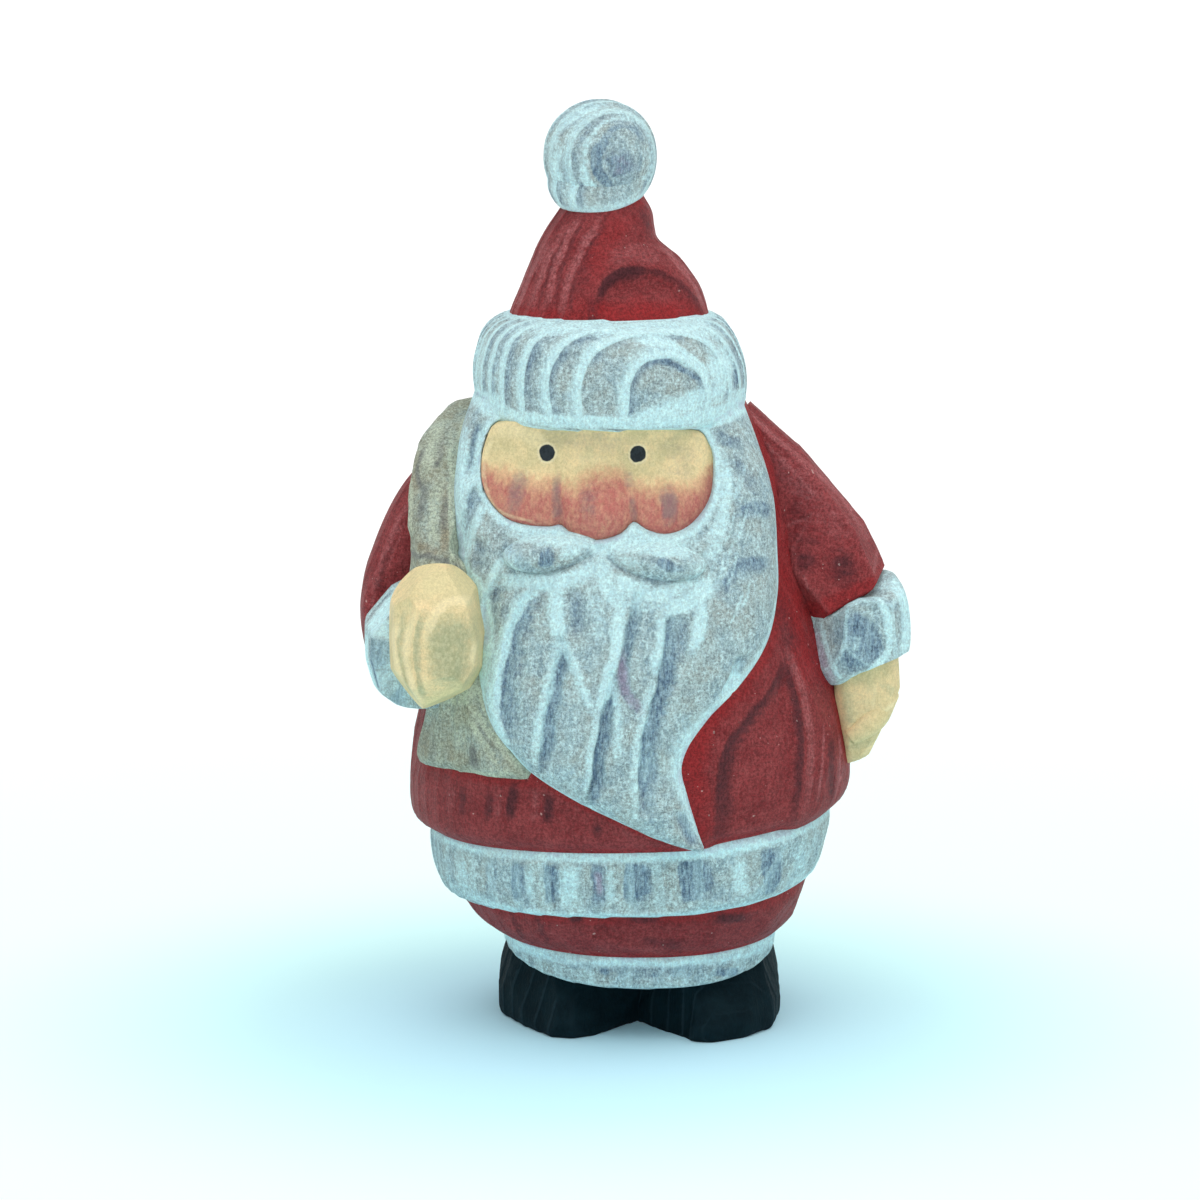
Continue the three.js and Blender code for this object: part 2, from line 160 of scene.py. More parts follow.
class Limb:
    """A limb along a bent path: at each share of the way a superellipse of that half width and half thickness
    stands square to the path, with its width along the level direction across the path."""

    def __init__(self, table, square=2.4):
        self.table, self.square = table, square

    def ring(self, v):
        """The ring's middle, its ways to the side and up, and its half width and half thickness. The path's
        own way is the difference between the middles just ahead and just behind."""
        rows, small = row_at(self.table, v), 0.01
        ahead = row_at(self.table, np.minimum(v + small, 1))[..., :3]
        behind = row_at(self.table, np.maximum(v - small, 0))[..., :3]
        along = ahead - behind
        along = along / np.linalg.norm(along, axis=-1, keepdims=True)
        lift = np.cross(np.broadcast_to([1.0, 0, 0], along.shape), along)
        lift = lift / np.linalg.norm(lift, axis=-1, keepdims=True)
        return rows[..., :3], np.cross(along, lift), lift, rows[..., 3:4], rows[..., 4:5]

    def at(self, u, v):
        angle = 2 * np.pi * u
        dx, dy = np.sin(angle)[..., None], np.cos(angle)[..., None]
        out = reach(dx, dy, self.square)
        middle, side, lift, wide, thick = self.ring(v + 0 * u)
        return middle + side * wide * dx * out + lift * thick * dy * out

    def clearance(self, points):
        """Millimetres outside the limb, read against the nearest of the stations along its path: how far out
        of the ring there, or how far from it along the path once half the gap between two is taken off,
        whichever is more."""
        stations, half_gap = 40, 0.5
        middle, side, lift, wide, thick = self.ring(np.linspace(0, 1, stations))
        flat = points.reshape(-1, 3)
        near = np.argmin(((flat[:, None] - middle) ** 2).sum(-1), 1)
        away = flat - middle[near]
        dx = (away * side[near]).sum(-1) / wide[near, 0]
        dy = (away * lift[near]).sum(-1) / thick[near, 0]
        share = np.maximum(1 / reach(dx, dy, self.square), 1e-3)
        past = np.abs((away * np.cross(lift, side)[near]).sum(-1)) - half_gap
        out = np.linalg.norm(away, axis=-1) * (1 - 1 / share)
        return np.maximum(out, past).reshape(points.shape[:-1])


class Lump:
    """A rounded lump: a ball stretched to half sizes x, y and z, boxier above squareness 2, turned about X, Y
    and Z in that order."""

    def __init__(self, centre, half, square=2.2, turned=(0, 0, 0)):
        self.centre, self.half, self.square = np.array(centre), np.array(half), square
        a, b, c = np.radians(turned)
        about_x = [[1, 0, 0], [0, np.cos(a), -np.sin(a)], [0, np.sin(a), np.cos(a)]]
        about_y = [[np.cos(b), 0, np.sin(b)], [0, 1, 0], [-np.sin(b), 0, np.cos(b)]]
        about_z = [[np.cos(c), -np.sin(c), 0], [np.sin(c), np.cos(c), 0], [0, 0, 1]]
        self.spin = np.array(about_z) @ np.array(about_y) @ np.array(about_x)

    def at(self, u, v):
        around, up = 2 * np.pi * u, np.pi * (v - 0.5)
        dx, dy = -np.sin(around), np.cos(around)
        plan = reach(dx, dy, self.square)
        flat, tall = np.cos(up), np.sin(up)
        out = reach(flat, tall, self.square)
        local = np.stack(np.broadcast_arrays(dx * plan * flat * out, dy * plan * flat * out, tall * out), -1)
        return local * self.half @ self.spin.T + self.centre

    def clearance(self, points):
        """Millimetres outside the lump, along the line from its centre."""
        away = points - self.centre
        x, y, z = np.moveaxis(away @ self.spin / self.half, -1, 0)
        flat = 1 / np.maximum(reach(x, y, self.square), 1e-6)
        share = np.maximum(1 / reach(flat, z, self.square), 1e-3)
        return np.linalg.norm(away, axis=-1) * (1 - 1 / share)


class Block:
    """A block cut to an outline for a boot: the outline's corners are rounded by a moving mean, and it is
    carried straight up. It draws in along its own normals with the square of the height towards the top, and
    a little at the sole, and its toe leans back."""

    corner = 1.0
    top_inset, top_from = 2.4, 3.5
    sole_inset, sole_height = 0.5, 0.35
    toe_lean, toe_from = 0.34, 2

    def __init__(self, outline, top):
        ring, along = walked(outline)
        count = 720
        fine = np.linspace(0, along[-1], count, endpoint=False)
        dense = np.stack([np.interp(fine, along, ring[:, k]) for k in (0, 1)], -1)
        width = int(self.corner / along[-1] * count)
        weights = np.hanning(2 * width + 3)[1:-1]
        weights = weights / weights.sum()
        around = np.concatenate([dense[-width:], dense, dense[:width]])
        self.outline = np.stack([np.convolve(around[:, k], weights, "valid") for k in (0, 1)], -1)
        self.top = top

    def at(self, u, v):
        small = 0.002
        places = np.linspace(0, 1, len(self.outline) + 1)
        loop = np.concatenate([self.outline, self.outline[:1]])
        x, y = [np.interp(u % 1, places, loop[:, k]) for k in (0, 1)]
        ahead = [np.interp((u + small) % 1, places, loop[:, k]) for k in (0, 1)]
        dx, dy = ahead[0] - x, ahead[1] - y
        length = np.hypot(dx, dy)
        z = self.top * v
        rise = np.clip((z - self.top_from) / (self.top - self.top_from), 0, 1)
        inward = self.top_inset * rise**2 + self.sole_inset * np.exp(-z / self.sole_height)
        toe = self.toe_lean * np.maximum(z - self.toe_from, 0) * smoothstep(y, -5, -12)
        x = x - dy / length * inward
        y = y + dx / length * inward + toe
        return np.stack(np.broadcast_arrays(x, y, z), -1)

    def clearance(self, points):
        """Millimetres above the block's top."""
        return points[..., 2] - self.top


class Pebble:
    """A low relief seen from the front. Its border is an outline in x and z. Inside it the rings shrink to
    the centre and stand as far forward as the front says, less a rounding at the rim that dies away with
    the exponential of the share. From the border a wall runs straight back."""

    wall = 0.1
    rim_drop, rim_sharpness = 0.45, 16

    def __init__(self, outline, centre, front, back):
        self.outline, (self.ring, along) = outline, walked(outline)
        self.along = along / along[-1]
        self.centre, self.front, self.back = centre, front, back

    def at(self, u, v):
        share = np.clip((1 - v) / (1 - self.wall), 0, 1)
        x, z = [
            middle + (np.interp(u % 1, self.along, self.ring[:, k]) - middle) * share
            for k, middle in enumerate(self.centre)
        ]
        front = self.front(x, z) + self.rim_drop * np.exp((share - 1) * self.rim_sharpness)
        y = front + (self.back - front) * np.clip(1 - v / self.wall, 0, 1)
        return np.stack(np.broadcast_arrays(x, y, z), -1)

    def clearance(self, points):
        """Millimetres outside the border in the front view, for points in front of the back."""
        return np.where(points[..., 1] < self.back, from_outline(points, self.outline), far_off)


def normals(points):
    """Unit normals of a grid whose columns wrap round: the cross product of the ways round and along it."""
    around = np.roll(points, -1, 1) - np.roll(points, 1, 1)
    along = np.gradient(points, axis=0)
    out = np.cross(around, along)
    return out / np.maximum(np.linalg.norm(out, axis=-1, keepdims=True), 1e-9)


def spaced(stops, count):
    """Count values that run from the first stop to the last, as many of them between each two stops."""
    return np.interp(np.linspace(0, len(stops) - 1, count), np.arange(len(stops)), stops)


def rounded(corners):
    """A closed outline with two more points between each two corners, along a cubic Hermite curve."""
    count = len(corners)
    places = [(i, *corners[i % count]) for i in range(-2, count + 2)]
    return [tuple(place) for place in row_at(places, np.arange(3 * count) / 3)]


def off_side(x, z, start, end):
    """How far along the straight side from start to end the place nearest to (x, z) is, as a share, and how
    far across and up (x, z) lies from it."""
    (ax, az), (bx, bz) = start, end
    run_x, run_z = bx - ax, bz - az
    along = np.clip(((x - ax) * run_x + (z - az) * run_z) / (run_x**2 + run_z**2), 0, 1)
    return along, x - ax - along * run_x, z - az - along * run_z


def from_outline(points, outline):
    """Millimetres outside an outline in the front view, or minus the millimetres inside it: the distance to
    its nearest side, with the sign from how many sides lie to the right of the place."""
    x, z = points[..., 0], points[..., 2]
    nearest, inside = np.full(x.shape, np.inf), np.zeros(x.shape, bool)
    for start, end in zip(outline, outline[1:] + outline[:1]):
        (ax, az), (bx, bz) = start, end
        dx, dz = off_side(x, z, start, end)[1:]
        nearest = np.minimum(nearest, np.hypot(dx, dz))
        if az != bz:
            inside ^= ((az > z) != (bz > z)) & (x < ax + (z - az) / (bz - az) * (bx - ax))
    return np.where(inside, -nearest, nearest)


def flat_at(form, u, v, depth, turn, tip):
    """A knife flat: the form's point at (u, v) sunk by the depth along the normal there, and the way the flat
    faces, which is that normal turned about Z and tipped up by those degrees."""
    small, u, v = 0.004, np.array([u]), np.array([v])
    place = form.at(u, v)[0]
    across = form.at(u + small, v)[0] - form.at(u - small, v)[0]
    along = form.at(u, v + small)[0] - form.at(u, v - small)[0]
    out = np.cross(across, along)
    out = out / np.linalg.norm(out) * (1 if out @ (place - form.at(u + 0.5, v)[0]) > 0 else -1)
    c, s = math.cos(math.radians(turn)), math.sin(math.radians(turn))
    x, y = out[0] * c - out[1] * s, out[0] * s + out[1] * c
    facing = np.array([x, y, out[2] + math.tan(math.radians(tip))])
    return place - out * depth, facing / np.linalg.norm(facing)


def whittled(form, across, along, depth, seed=0.0, shift=0.5):
    """Knife flats all over a form, in courses along it. Each course is set round by the shift from the last,
    and every flat strays a little in its place, depth and facing by sines of its number. A flat reaches half
    as far again as the slant across it halfway along the form."""
    low_left = form.at(np.array([-0.5 / across]), np.array([0.5]))
    high_right = form.at(np.array([0.5 / across]), np.array([0.5 + 0.5 / along]))
    far = 1.5 * np.linalg.norm(low_left - high_right)
    flats = []
    for j in range(along):
        for i in range(across):
            stray = math.sin(3.7 * i + 2.3 * j + seed)
            other = math.sin(5.1 * i + 1.9 * j + 2 * seed + 1)
            u = (i + shift * (j % 2) + 0.22 * stray * (shift > 0)) / across
            v = (j + 0.5 + 0.1 * other) / along
            place, facing = flat_at(form, u, v, depth * (1 + 0.3 * other), 3 * stray, 2 * other)
            flats.append((place, facing, far))
    return flats


def pared(points, flats):
    """Pares the points straight back to every flat that they stand outside of: in full up to seven tenths of
    the flat's reach from its place, and then less and less up to its reach."""
    for place, facing, far in flats:
        facing = np.array(facing, float) / np.linalg.norm(facing)
        away = points - place
        near = 1 - smoothstep(np.linalg.norm(away, axis=-1), 0.7 * far, far)
        points = points - (np.maximum(away @ facing, 0) * near)[..., None] * facing
    return points


# The wood itself.


def ring_phase(points):
    """How many years of growth lie between the first ring and a point: its level distance from the pith, plus
    a slow sway and a quick one, read against the running sum of the widths of the years."""
    x, y, z = np.moveaxis(points, -1, 0)
    radius = np.hypot(x - pith[0], y - pith[1])
    radius = radius + 0.32 * waves(x, y, z, 17) + 0.12 * waves(x, y, z, 5, 2.0)
    return np.interp(radius, ring_radii, np.arange(len(ring_radii)))


def ring_pace(points, out):
    """Rings crossed for each millimetre walked along the surface: the length of the phase's gradient, by
    central differences, once the part of it along the normal is taken off, and at least the slowest pace."""
    step, slowest = 0.3, 0.03
    ways = np.eye(3) * step
    slopes = [(ring_phase(points + way) - ring_phase(points - way)) / (2 * step) for way in ways]
    gradient = np.stack(slopes, -1)
    gradient -= (gradient * out).sum(-1, keepdims=True) * out
    return np.maximum(np.linalg.norm(gradient, axis=-1), slowest)


def ring_relief(phase, pace, depth):
    """Rubbed-back wood. From each ridge the surface drops by the depth within 0.4 millimetres on the outer
    side, and climbs back to the next ridge as the power 1.6 of the share of the year."""
    share, drop_width = phase % 1, 0.4
    behind = share / pace
    return -depth * (1 - share**1.6) * smoothstep(behind, 0, drop_width)


def convexity(points, out):
    """1 on a convex edge and 0 on a flat or gently rounded place: twice the height above the mean of four
    neighbours, two cells away, over their squared distance, which is one over the radius. A radius over 17
    millimetres counts as none and one under 2 as a full edge."""
    cells = 2
    total, spread = 0, 0
    for axis in (0, 1):
        for way in (-cells, cells):
            other = np.roll(points, way, axis)
            total = total + ((points - other) * out).sum(-1)
            spread = spread + ((points - other) ** 2).sum(-1)
    bend = 2 * total / np.maximum(spread, 1e-6)
    bend[:cells] = bend[-cells:] = 0
    return smoothstep(bend, 0.06, 0.5)


def strokes_at(points, strokes):
    """Strokes of a brush or a gouge, seen from the front, as an unsteady hand lays them: full along a curve
    that wavers, fading to 0 within its width as the square of one minus the cubed share, and weaker at both
    ends. A stroke is a strength, one width or the four to the left, to the right, below and above, and the
    (x, z) places that it passes through. Where strokes cross, the stronger one counts, and none reaches the
    back."""
    if callable(strokes):
        return strokes(points)
    swelling, waver, lift_off, front_ends = 0.25, 0.2, 0.2, -1
    x, y, z = np.moveaxis(points, -1, 0)
    swell = 1 + swelling * waves(x, y, z, 2.8, 1.5)
    x, z = x + waver * waves(x, y, z, 2.4, 4.0), z + waver * waves(x, y, z, 2.4, 7.0)
    amount = np.zeros(x.shape)
    for strength, width, path in strokes:
        left, right, below, above = width if isinstance(width, tuple) else (width,) * 4
        places = [(i, *place) for i, place in enumerate(path)]
        path = row_at(places, np.linspace(0, len(path) - 1, 3 * len(path) - 2 if len(path) > 2 else 2))
        for i, (start, end) in enumerate(zip(path[:-1], path[1:])):
            along, dx, dz = off_side(x, z, start, end)
            wide, tall = np.where(dx < 0, left, right), np.where(dz < 0, below, above)
            share = np.hypot(dx / wide, dz / tall) / swell
            to_end = 0.5 - np.abs((i + along) / (len(path) - 1) - 0.5)
            pressure = strength * smoothstep(to_end, -lift_off, lift_off)
            amount = np.maximum(amount, pressure * (1 - np.minimum(share, 1) ** 3) ** 2)
    return np.where(y < front_ends, amount, 0)


def closed_mesh(name, points, outward, marks):
    """A mesh of quads over a grid whose columns wrap round, with a fan of triangles to the mean point of the
    first row and of the last. The faces are turned the other way where the grid's own normals point inward.
    Each mark is a value at every vertex; at the two tips it is the mean of its row."""
    rows, columns = points.shape[:2]
    ends = np.stack([points[0].mean(0), points[-1].mean(0)])
    vertices = np.concatenate([points.reshape(-1, 3), ends]) * mm
    grid = np.arange(rows * columns).reshape(rows, columns)
    around = np.roll(grid, -1, 1)
    quads = np.stack([grid[:-1], around[:-1], around[1:], grid[1:]], -1).reshape(-1, 4)
    tips = [np.full(columns, rows * columns), np.full(columns, rows * columns + 1)]
    low_cap = np.stack([around[0], grid[0], tips[0]], -1)
    high_cap = np.stack([grid[-1], around[-1], tips[1]], -1)
    turn = 1 if outward else -1
    corners = np.concatenate([part[:, ::turn].ravel() for part in (quads, low_cap, high_cap)])
    sides = np.concatenate([np.full(len(quads), 4), np.full(2 * columns, 3)])
    mesh = bpy.data.meshes.new(name)
    mesh.vertices.add(len(vertices))
    mesh.vertices.foreach_set("co", vertices.ravel())
    mesh.loops.add(len(corners))
    mesh.loops.foreach_set("vertex_index", corners.astype(np.int32))
    mesh.polygons.add(len(sides))
    starts = np.concatenate([[0], np.cumsum(sides)[:-1]])
    mesh.polygons.foreach_set("loop_start", starts.astype(np.int32))
    mesh.update(calc_edges=True)
    for mark, values in marks.items():
        layer = mesh.attributes.new(mark, "FLOAT", "POINT")
        at_tips = [values[0].mean(), values[-1].mean()]
        layer.data.foreach_set("value", np.concatenate([values.ravel(), at_tips]).astype(np.float32))
    mesh.shade_smooth()
    return mesh


def add_piece(name, form, slot, size, warp=(0, 1), flats=(), depth=0.28, grown=1.0, worn=1.0,
              calm=(0.0, 0.01), beside=(), cut=None, round_ends=False):
    """Builds one painted region. Its grid is the form, pared to its knife flats, moved along its normals by
    the cut and the ring relief, and closed by a point at each end. Each vertex also carries the ring phase
    and pace, how far the rings show, the distance to the forms beside it, how worn its edges are, and its
    brush work. The relief is uneven by a quarter and runs out at the seams. Rings crossed more slowly than
    the calm pace don't show."""
    columns, rows = size
    u = spaced(warp, columns + 1)[:-1]
    inset = 0.5 / rows if round_ends else 0
    v = np.linspace(0, 1, rows) * (1 - 2 * inset) + inset
    points = pared(form.at(u[None, :], v[:, None]), flats)
    out = normals(points)
    side = 1 if np.einsum("ijk,ijk->", out, points - points.mean((0, 1))) > 0 else -1
    out = out * side
    edge = convexity(points, out)
    if cut is not None:
        points = points + out * cut(points)[..., None]
        out = normals(points) * side
    phase, pace = ring_phase(points), ring_pace(points, out)
    seam = np.full(phase.shape, far_off)
    for other in beside:
        seam = np.minimum(seam, other.clearance(points))
    awake = smoothstep(pace, *calm)
    marks = {"ring": phase, "pace": pace, "grown": grown * awake, "edge": worn * edge, "seam": seam}
    for mark in ("wash_and_shade", "lip", "tint"):
        marks[mark] = strokes_at(points, brush_work.get(name, {}).get(mark, ()))
    uneven = 0.75 + 0.25 * waves(*np.moveaxis(points, -1, 0), 9, 1.0)
    relief = ring_relief(phase, pace, depth * uneven * awake) * smoothstep(seam, -0.2, 0.7)
    mesh = closed_mesh(name, points + out * relief[..., None], side > 0, marks)
    mesh.materials.append(finishes[slot])
    piece = bpy.data.objects.new(name, mesh)
    bpy.context.scene.collection.objects.link(piece)
    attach(piece, "root")
    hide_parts("carved_figure")


# Paints and the nodes that mix them.


def paint(red, green, blue):
    """A paint as it is matched on a chart from 0 to 255, turned to linear light."""
    chart = np.array([red, green, blue]) / 255
    linear = np.where(chart <= 0.04045, chart / 12.92, ((chart + 0.055) / 1.055) ** 2.4)
    return (*linear.tolist(), 1.0)


class Palette:
    """Adds nodes to one node tree. A value may be a number, a colour or another node's socket, and an inlet
    is named by its label, or by its place after an underscore. Times, plus, minus and most take any number
    of values, in order."""

    def __init__(self, tree):
        self.tree = tree

    def node(self, kind, settings=None, **inlets):
        made = self.tree.nodes.new(kind)
        for name, value in (settings or {}).items():
            setattr(made, name, value)
        for name, value in inlets.items():
            socket = made.inputs[int(name[1:]) if name[0] == "_" else name.replace("_", " ")]
            if isinstance(value, bpy.types.NodeSocket):
                self.tree.links.new(value, socket)
            else:
                socket.default_value = value
        return made

    def math(self, operation, *values):
        inlets = {f"_{i}": value for i, value in enumerate(values)}
        return self.node("ShaderNodeMath", {"operation": operation}, **inlets).outputs[0]

    def chain(self, operation, first, *others):
        for other in others:
            first = self.math(operation, first, other)
        return first

    def times(self, *values):
        return self.chain("MULTIPLY", *values)

    def plus(self, *values):
        return self.chain("ADD", *values)

    def minus(self, *values):
        return self.chain("SUBTRACT", *values)

    def most(self, *values):
        return self.chain("MAXIMUM", *values)

    def step(self, value, start, end, low=0.0, high=1.0):
        """Low before the start and high after the end, with a smooth step between them."""
        settings = {"interpolation_type": "SMOOTHSTEP"}
        made = self.node("ShaderNodeMapRange", settings, _0=value, _1=start, _2=end, _3=low, _4=high)
        return made.outputs[0]

    def mix(self, share, first, second):
        made = self.node("ShaderNodeMix", {"data_type": "RGBA"}, _0=share, _6=first, _7=second)
        return made.outputs[2]

    def mark(self, name):
        return self.node("ShaderNodeAttribute", {"attribute_name": name}).outputs["Fac"]

    def place(self, stretch=(1, 1, 1)):
        """Object coordinates in millimetres of the pattern, stretched along each way."""
        raw = self.node("ShaderNodeTexCoord").outputs["Object"]
        scale = tuple(part / mm for part in stretch)
        made = self.node("ShaderNodeVectorMath", {"operation": "MULTIPLY"}, _0=raw, _1=scale)
        return made.outputs[0]

    def noise(self, place, scale, detail=3.0, roughness=0.6):
        made = self.node("ShaderNodeTexNoise", Vector=place, Scale=scale, Detail=detail, Roughness=roughness)
        return made.outputs["Fac"]

    def sway(self, place, scale, size):
        """Noise about zero that reaches about as far as the size to either side."""
        return self.times(self.minus(self.noise(place, scale), 0.5), 3.0 * size)


def new_group(name, inlets, outlets):
    """An empty node group with named number inputs and outputs."""
    tree = bpy.data.node_groups.new(name, "ShaderNodeTree")
    for label, value in inlets.items():
        socket = tree.interface.new_socket(label, in_out="INPUT", socket_type="NodeSocketFloat")
        socket.default_value = value
    for label in outlets:
        tree.interface.new_socket(label, in_out="OUTPUT", socket_type="NodeSocketFloat")
    palette = Palette(tree)
    return tree, palette, palette.node("NodeGroupInput").outputs, palette.node("NodeGroupOutput").inputs


def make_ring_marks():
    """Masks that follow the annual rings. Ahead is the way to the next ridge along the surface and behind the
    way back to the last one, in millimetres: the share of the year over the pace."""
    inlets = {"Ridge width": 0.8, "Hollow width": 1.6}
    tree, p, given, made = new_group("ring marks", inlets, ["Ridge", "Hollow", "Height"])
    share = p.math("FRACT", p.mark("ring"))
    pace, grown = p.mark("pace"), p.mark("grown")
    ragged = p.sway(p.place(), 1.1, 0.3)
    ahead = p.plus(p.math("DIVIDE", p.minus(1.0, share), pace), ragged)
    behind = p.math("DIVIDE", share, pace)
    wide, deep = given["Ridge width"], given["Hollow width"]
    climbing = p.step(ahead, p.times(wide, 0.3), p.times(wide, 1.15), 1.0, 0.0)
    crest = p.step(behind, 0.03, 0.2, 1.0, 0.0)
    fading = p.step(p.plus(behind, ragged), p.times(deep, 0.2), deep, 1.0, 0.0)
    patches = p.step(p.noise(p.place((1, 1, 0.6)), 0.2, 2.0), 0.36, 0.6)
    hollow = p.times(p.step(behind, 0.04, 0.22), fading, patches)
    p.tree.links.new(p.times(p.most(climbing, crest), grown), made["Ridge"])
    p.tree.links.new(p.times(hollow, grown), made["Hollow"])
    p.tree.links.new(p.times(p.step(ahead, 0.0, 0.7, 1.0, 0.0), grown, 0.08), made["Height"])
    return tree


def make_brush_marks():
    """The brush and the wood's fibre, each between 0 and 1: pale flecks, dark grit, soft patches a few
    millimetres wide, streaks up the grain and fine drags across it."""
    outlets = ["Fleck", "Grit", "Patch", "Streak", "Drag"]
    tree, p, given, made = new_group("brush marks", {"Fineness": 1.0}, outlets)
    fine = given["Fineness"]
    looks = {
        "Fleck": (p.place((1, 1, 0.6)), 2.1, 5.0, 0.75, 0.42, 0.6),
        "Grit": (p.place((1, 1, 0.7)), 3.2, 3.0, 0.8, 0.53, 0.66),
        "Patch": (p.place(), 0.3, 3.0, 0.55, 0.36, 0.64),
        "Streak": (p.place((1, 1, 0.14)), 3.2, 3.0, 0.7, 0.42, 0.6),
        "Drag": (p.place((0.22, 0.22, 1)), 3.4, 3.0, 0.8, 0.52, 0.6),
    }
    for label, (place, scale, detail, roughness, low, high) in looks.items():
        value = p.noise(place, p.times(fine, scale), detail, roughness)
        p.tree.links.new(p.step(value, low, high), made[label])
    return tree


def make_brush_edge():
    """A soft stroke turned to a brushed one: it holds where the flecks and drags are strong and breaks up
    where the stroke fades."""
    tree, p, given, made = new_group("brush edge", {"Stroke": 0.0, "Tooth": 0.5}, ["Paint"])
    flecks, drags = p.sway(p.place(), 2.4, 0.5), p.sway(p.place((0.3, 0.3, 1)), 2.0, 0.5)
    tooth = p.times(p.plus(flecks, drags), given["Tooth"])
    felt = p.times(p.plus(given["Stroke"], tooth), p.step(given["Stroke"], 0.0, 0.2))
    p.tree.links.new(p.step(felt, 0.0, 0.95), made["Paint"])
    return tree


def make_painted_lip():
    """A ragged lip of paint where a region meets the next: 1 at the seam and 0 past its width. The edge is
    the thin line right at the seam, in places only."""
    tree, p, given, made = new_group("painted lip", {"Width": 0.9}, ["Lip", "Edge"])
    seam = p.plus(p.mark("seam"), p.sway(p.place(), 0.9, 0.28))
    lip = p.step(seam, p.times(given["Width"], 0.35), given["Width"], 1.0, 0.0)
    thin = p.times(p.step(seam, 0.15, 0.45, 1.0, 0.0), p.step(p.noise(p.place(), 0.35), 0.42, 0.6))
    p.tree.links.new(lip, made["Lip"])
    p.tree.links.new(thin, made["Edge"])
    return tree


def use(p, tree, **values):
    """One use of a node group with its own values; its outputs are read by name."""
    return p.node("ShaderNodeGroup", {"node_tree": tree}, **values).outputs


def brushed(p, mark, tooth=0.5):
    """A mark of the mesh laid on with a brush."""
    return use(p, node_groups["brush edge"], Stroke=p.mark(mark), Tooth=tooth)["Paint"]


def start_material(name):
    """An empty material and the palette of its node tree."""
    material = bpy.data.materials.new(name)
    material.use_nodes = True
    material.node_tree.nodes.clear()
    return material, Palette(material.node_tree)


def start_paint(name, ridge, hollow):
    """A material with its ring marks, whose ridges and hollows are that wide in millimetres, and its brush
    marks."""
    material, p = start_material(name)
    rings = use(p, node_groups["ring marks"], Ridge_width=ridge, Hollow_width=hollow)
    return material, p, rings, use(p, node_groups["brush marks"], Fineness=1.0)


def layered(p, brush, colour, **layers):
    """The colour with more paints over it, each laid by its share where its brush mark is. A layer is that
    share and the paint."""
    for mark, (share, *over) in layers.items():
        colour = p.mix(p.times(brush[mark], share), colour, paint(*over))
    return colour


def grained(p, colour, amount):
    """The colour made lighter and darker, up to that share each time, by the hairs of the brush, upright and
    level, and by crisp grains between them."""
    hairs = []
    for stretch, share in (((1, 1, 0.3), 0.5), ((0.4, 0.4, 1), 0.4), ((1, 1, 1), 1.5)):
        hair = p.noise(p.place(stretch), 3.4, 2.0, 0.9)
        hairs.append(p.step(hair, 0.4, 0.6, -amount * share, amount * share))
    return p.node("ShaderNodeHueSaturation", Value=p.plus(1.0, *hairs), Color=colour).outputs[0]


def finish_surface(p, gloss, **inlets):
    """Ends a material in one Principled surface of that gloss."""
    shader = p.node("ShaderNodeBsdfPrincipled", **inlets)
    shader.inputs["Specular IOR Level"].default_value = gloss
    target = p.node("ShaderNodeOutputMaterial")
    p.tree.links.new(shader.outputs[0], target.inputs["Surface"])


def finish_paint(p, colour, rings, brush, rough, gloss, **relief):
    """Ends a paint. Its roughness runs between the two values with the flecks, and a fine bump sums the
    height of the rings and the relief of each brush mark, in millimetres."""
    rough = p.step(brush["Fleck"], 0.0, 1.0, *rough)
    height = rings["Height"]
    for mark, size in relief.items():
        height = p.plus(height, p.times(brush[mark], size))
    bump = p.node("ShaderNodeBump", Strength=1.0, Distance=mm, Height=height)
    finish_surface(p, gloss, Base_Color=colour, Roughness=rough, Normal=bump.outputs[0])


def make_whitewash():
    """Fur, hair and beard: a grey wash over brownish wood, blue in the hollows, with white dragged over every
    ridge and lip. The blue also lies on the bobble as a painted shadow of a step in the wood."""
    material, p, rings, brush = start_paint("whitewash", 1.45, 1.6)
    lip = use(p, node_groups["painted lip"], Width=1.3)
    grey = p.mix(brush["Patch"], paint(142, 168, 178), paint(159, 171, 169))
    grey = layered(p, brush, grey, Fleck=(0.8, 190, 214, 216), Grit=(0.6, 112, 126, 132),
                   Drag=(0.3, 200, 226, 229))
    blue = p.mix(brush["Fleck"], paint(86, 110, 134), paint(128, 156, 174))
    blue = layered(p, brush, blue, Grit=(0.6, 74, 88, 106), Streak=(0.6, 164, 190, 200))
    # Blue paint in the ring hollows and the wash strokes, and on the bobble a painted shadow.
    wash_and_shade_share = p.most(p.times(rings["Hollow"], 0.8), brushed(p, "wash_and_shade"))
    colour = p.mix(wash_and_shade_share, grey, blue)
    colour = p.mix(p.times(brushed(p, "tint"), 0.6), colour, paint(186, 168, 190))
    white = p.mix(brush["Fleck"], paint(198, 234, 240), paint(214, 248, 250))
    laid = p.most(rings["Ridge"], lip["Lip"], brushed(p, "lip", 0.6), p.times(p.mark("edge"), 0.6))
    worn = p.times(p.step(brush["Streak"], 0.0, 0.8, 0.85, 1.0), p.step(brush["Grit"], 0.3, 1.0, 1.0, 0.75))
    colour = p.mix(p.times(laid, worn), grained(p, colour, 0.16), grained(p, white, 0.065))
    colour = p.mix(p.times(lip["Edge"], 0.35), colour, paint(172, 176, 202))
    finish_paint(p, colour, rings, brush, (0.66, 0.8), 0.2, Streak=0.03, Fleck=0.03)
    return material


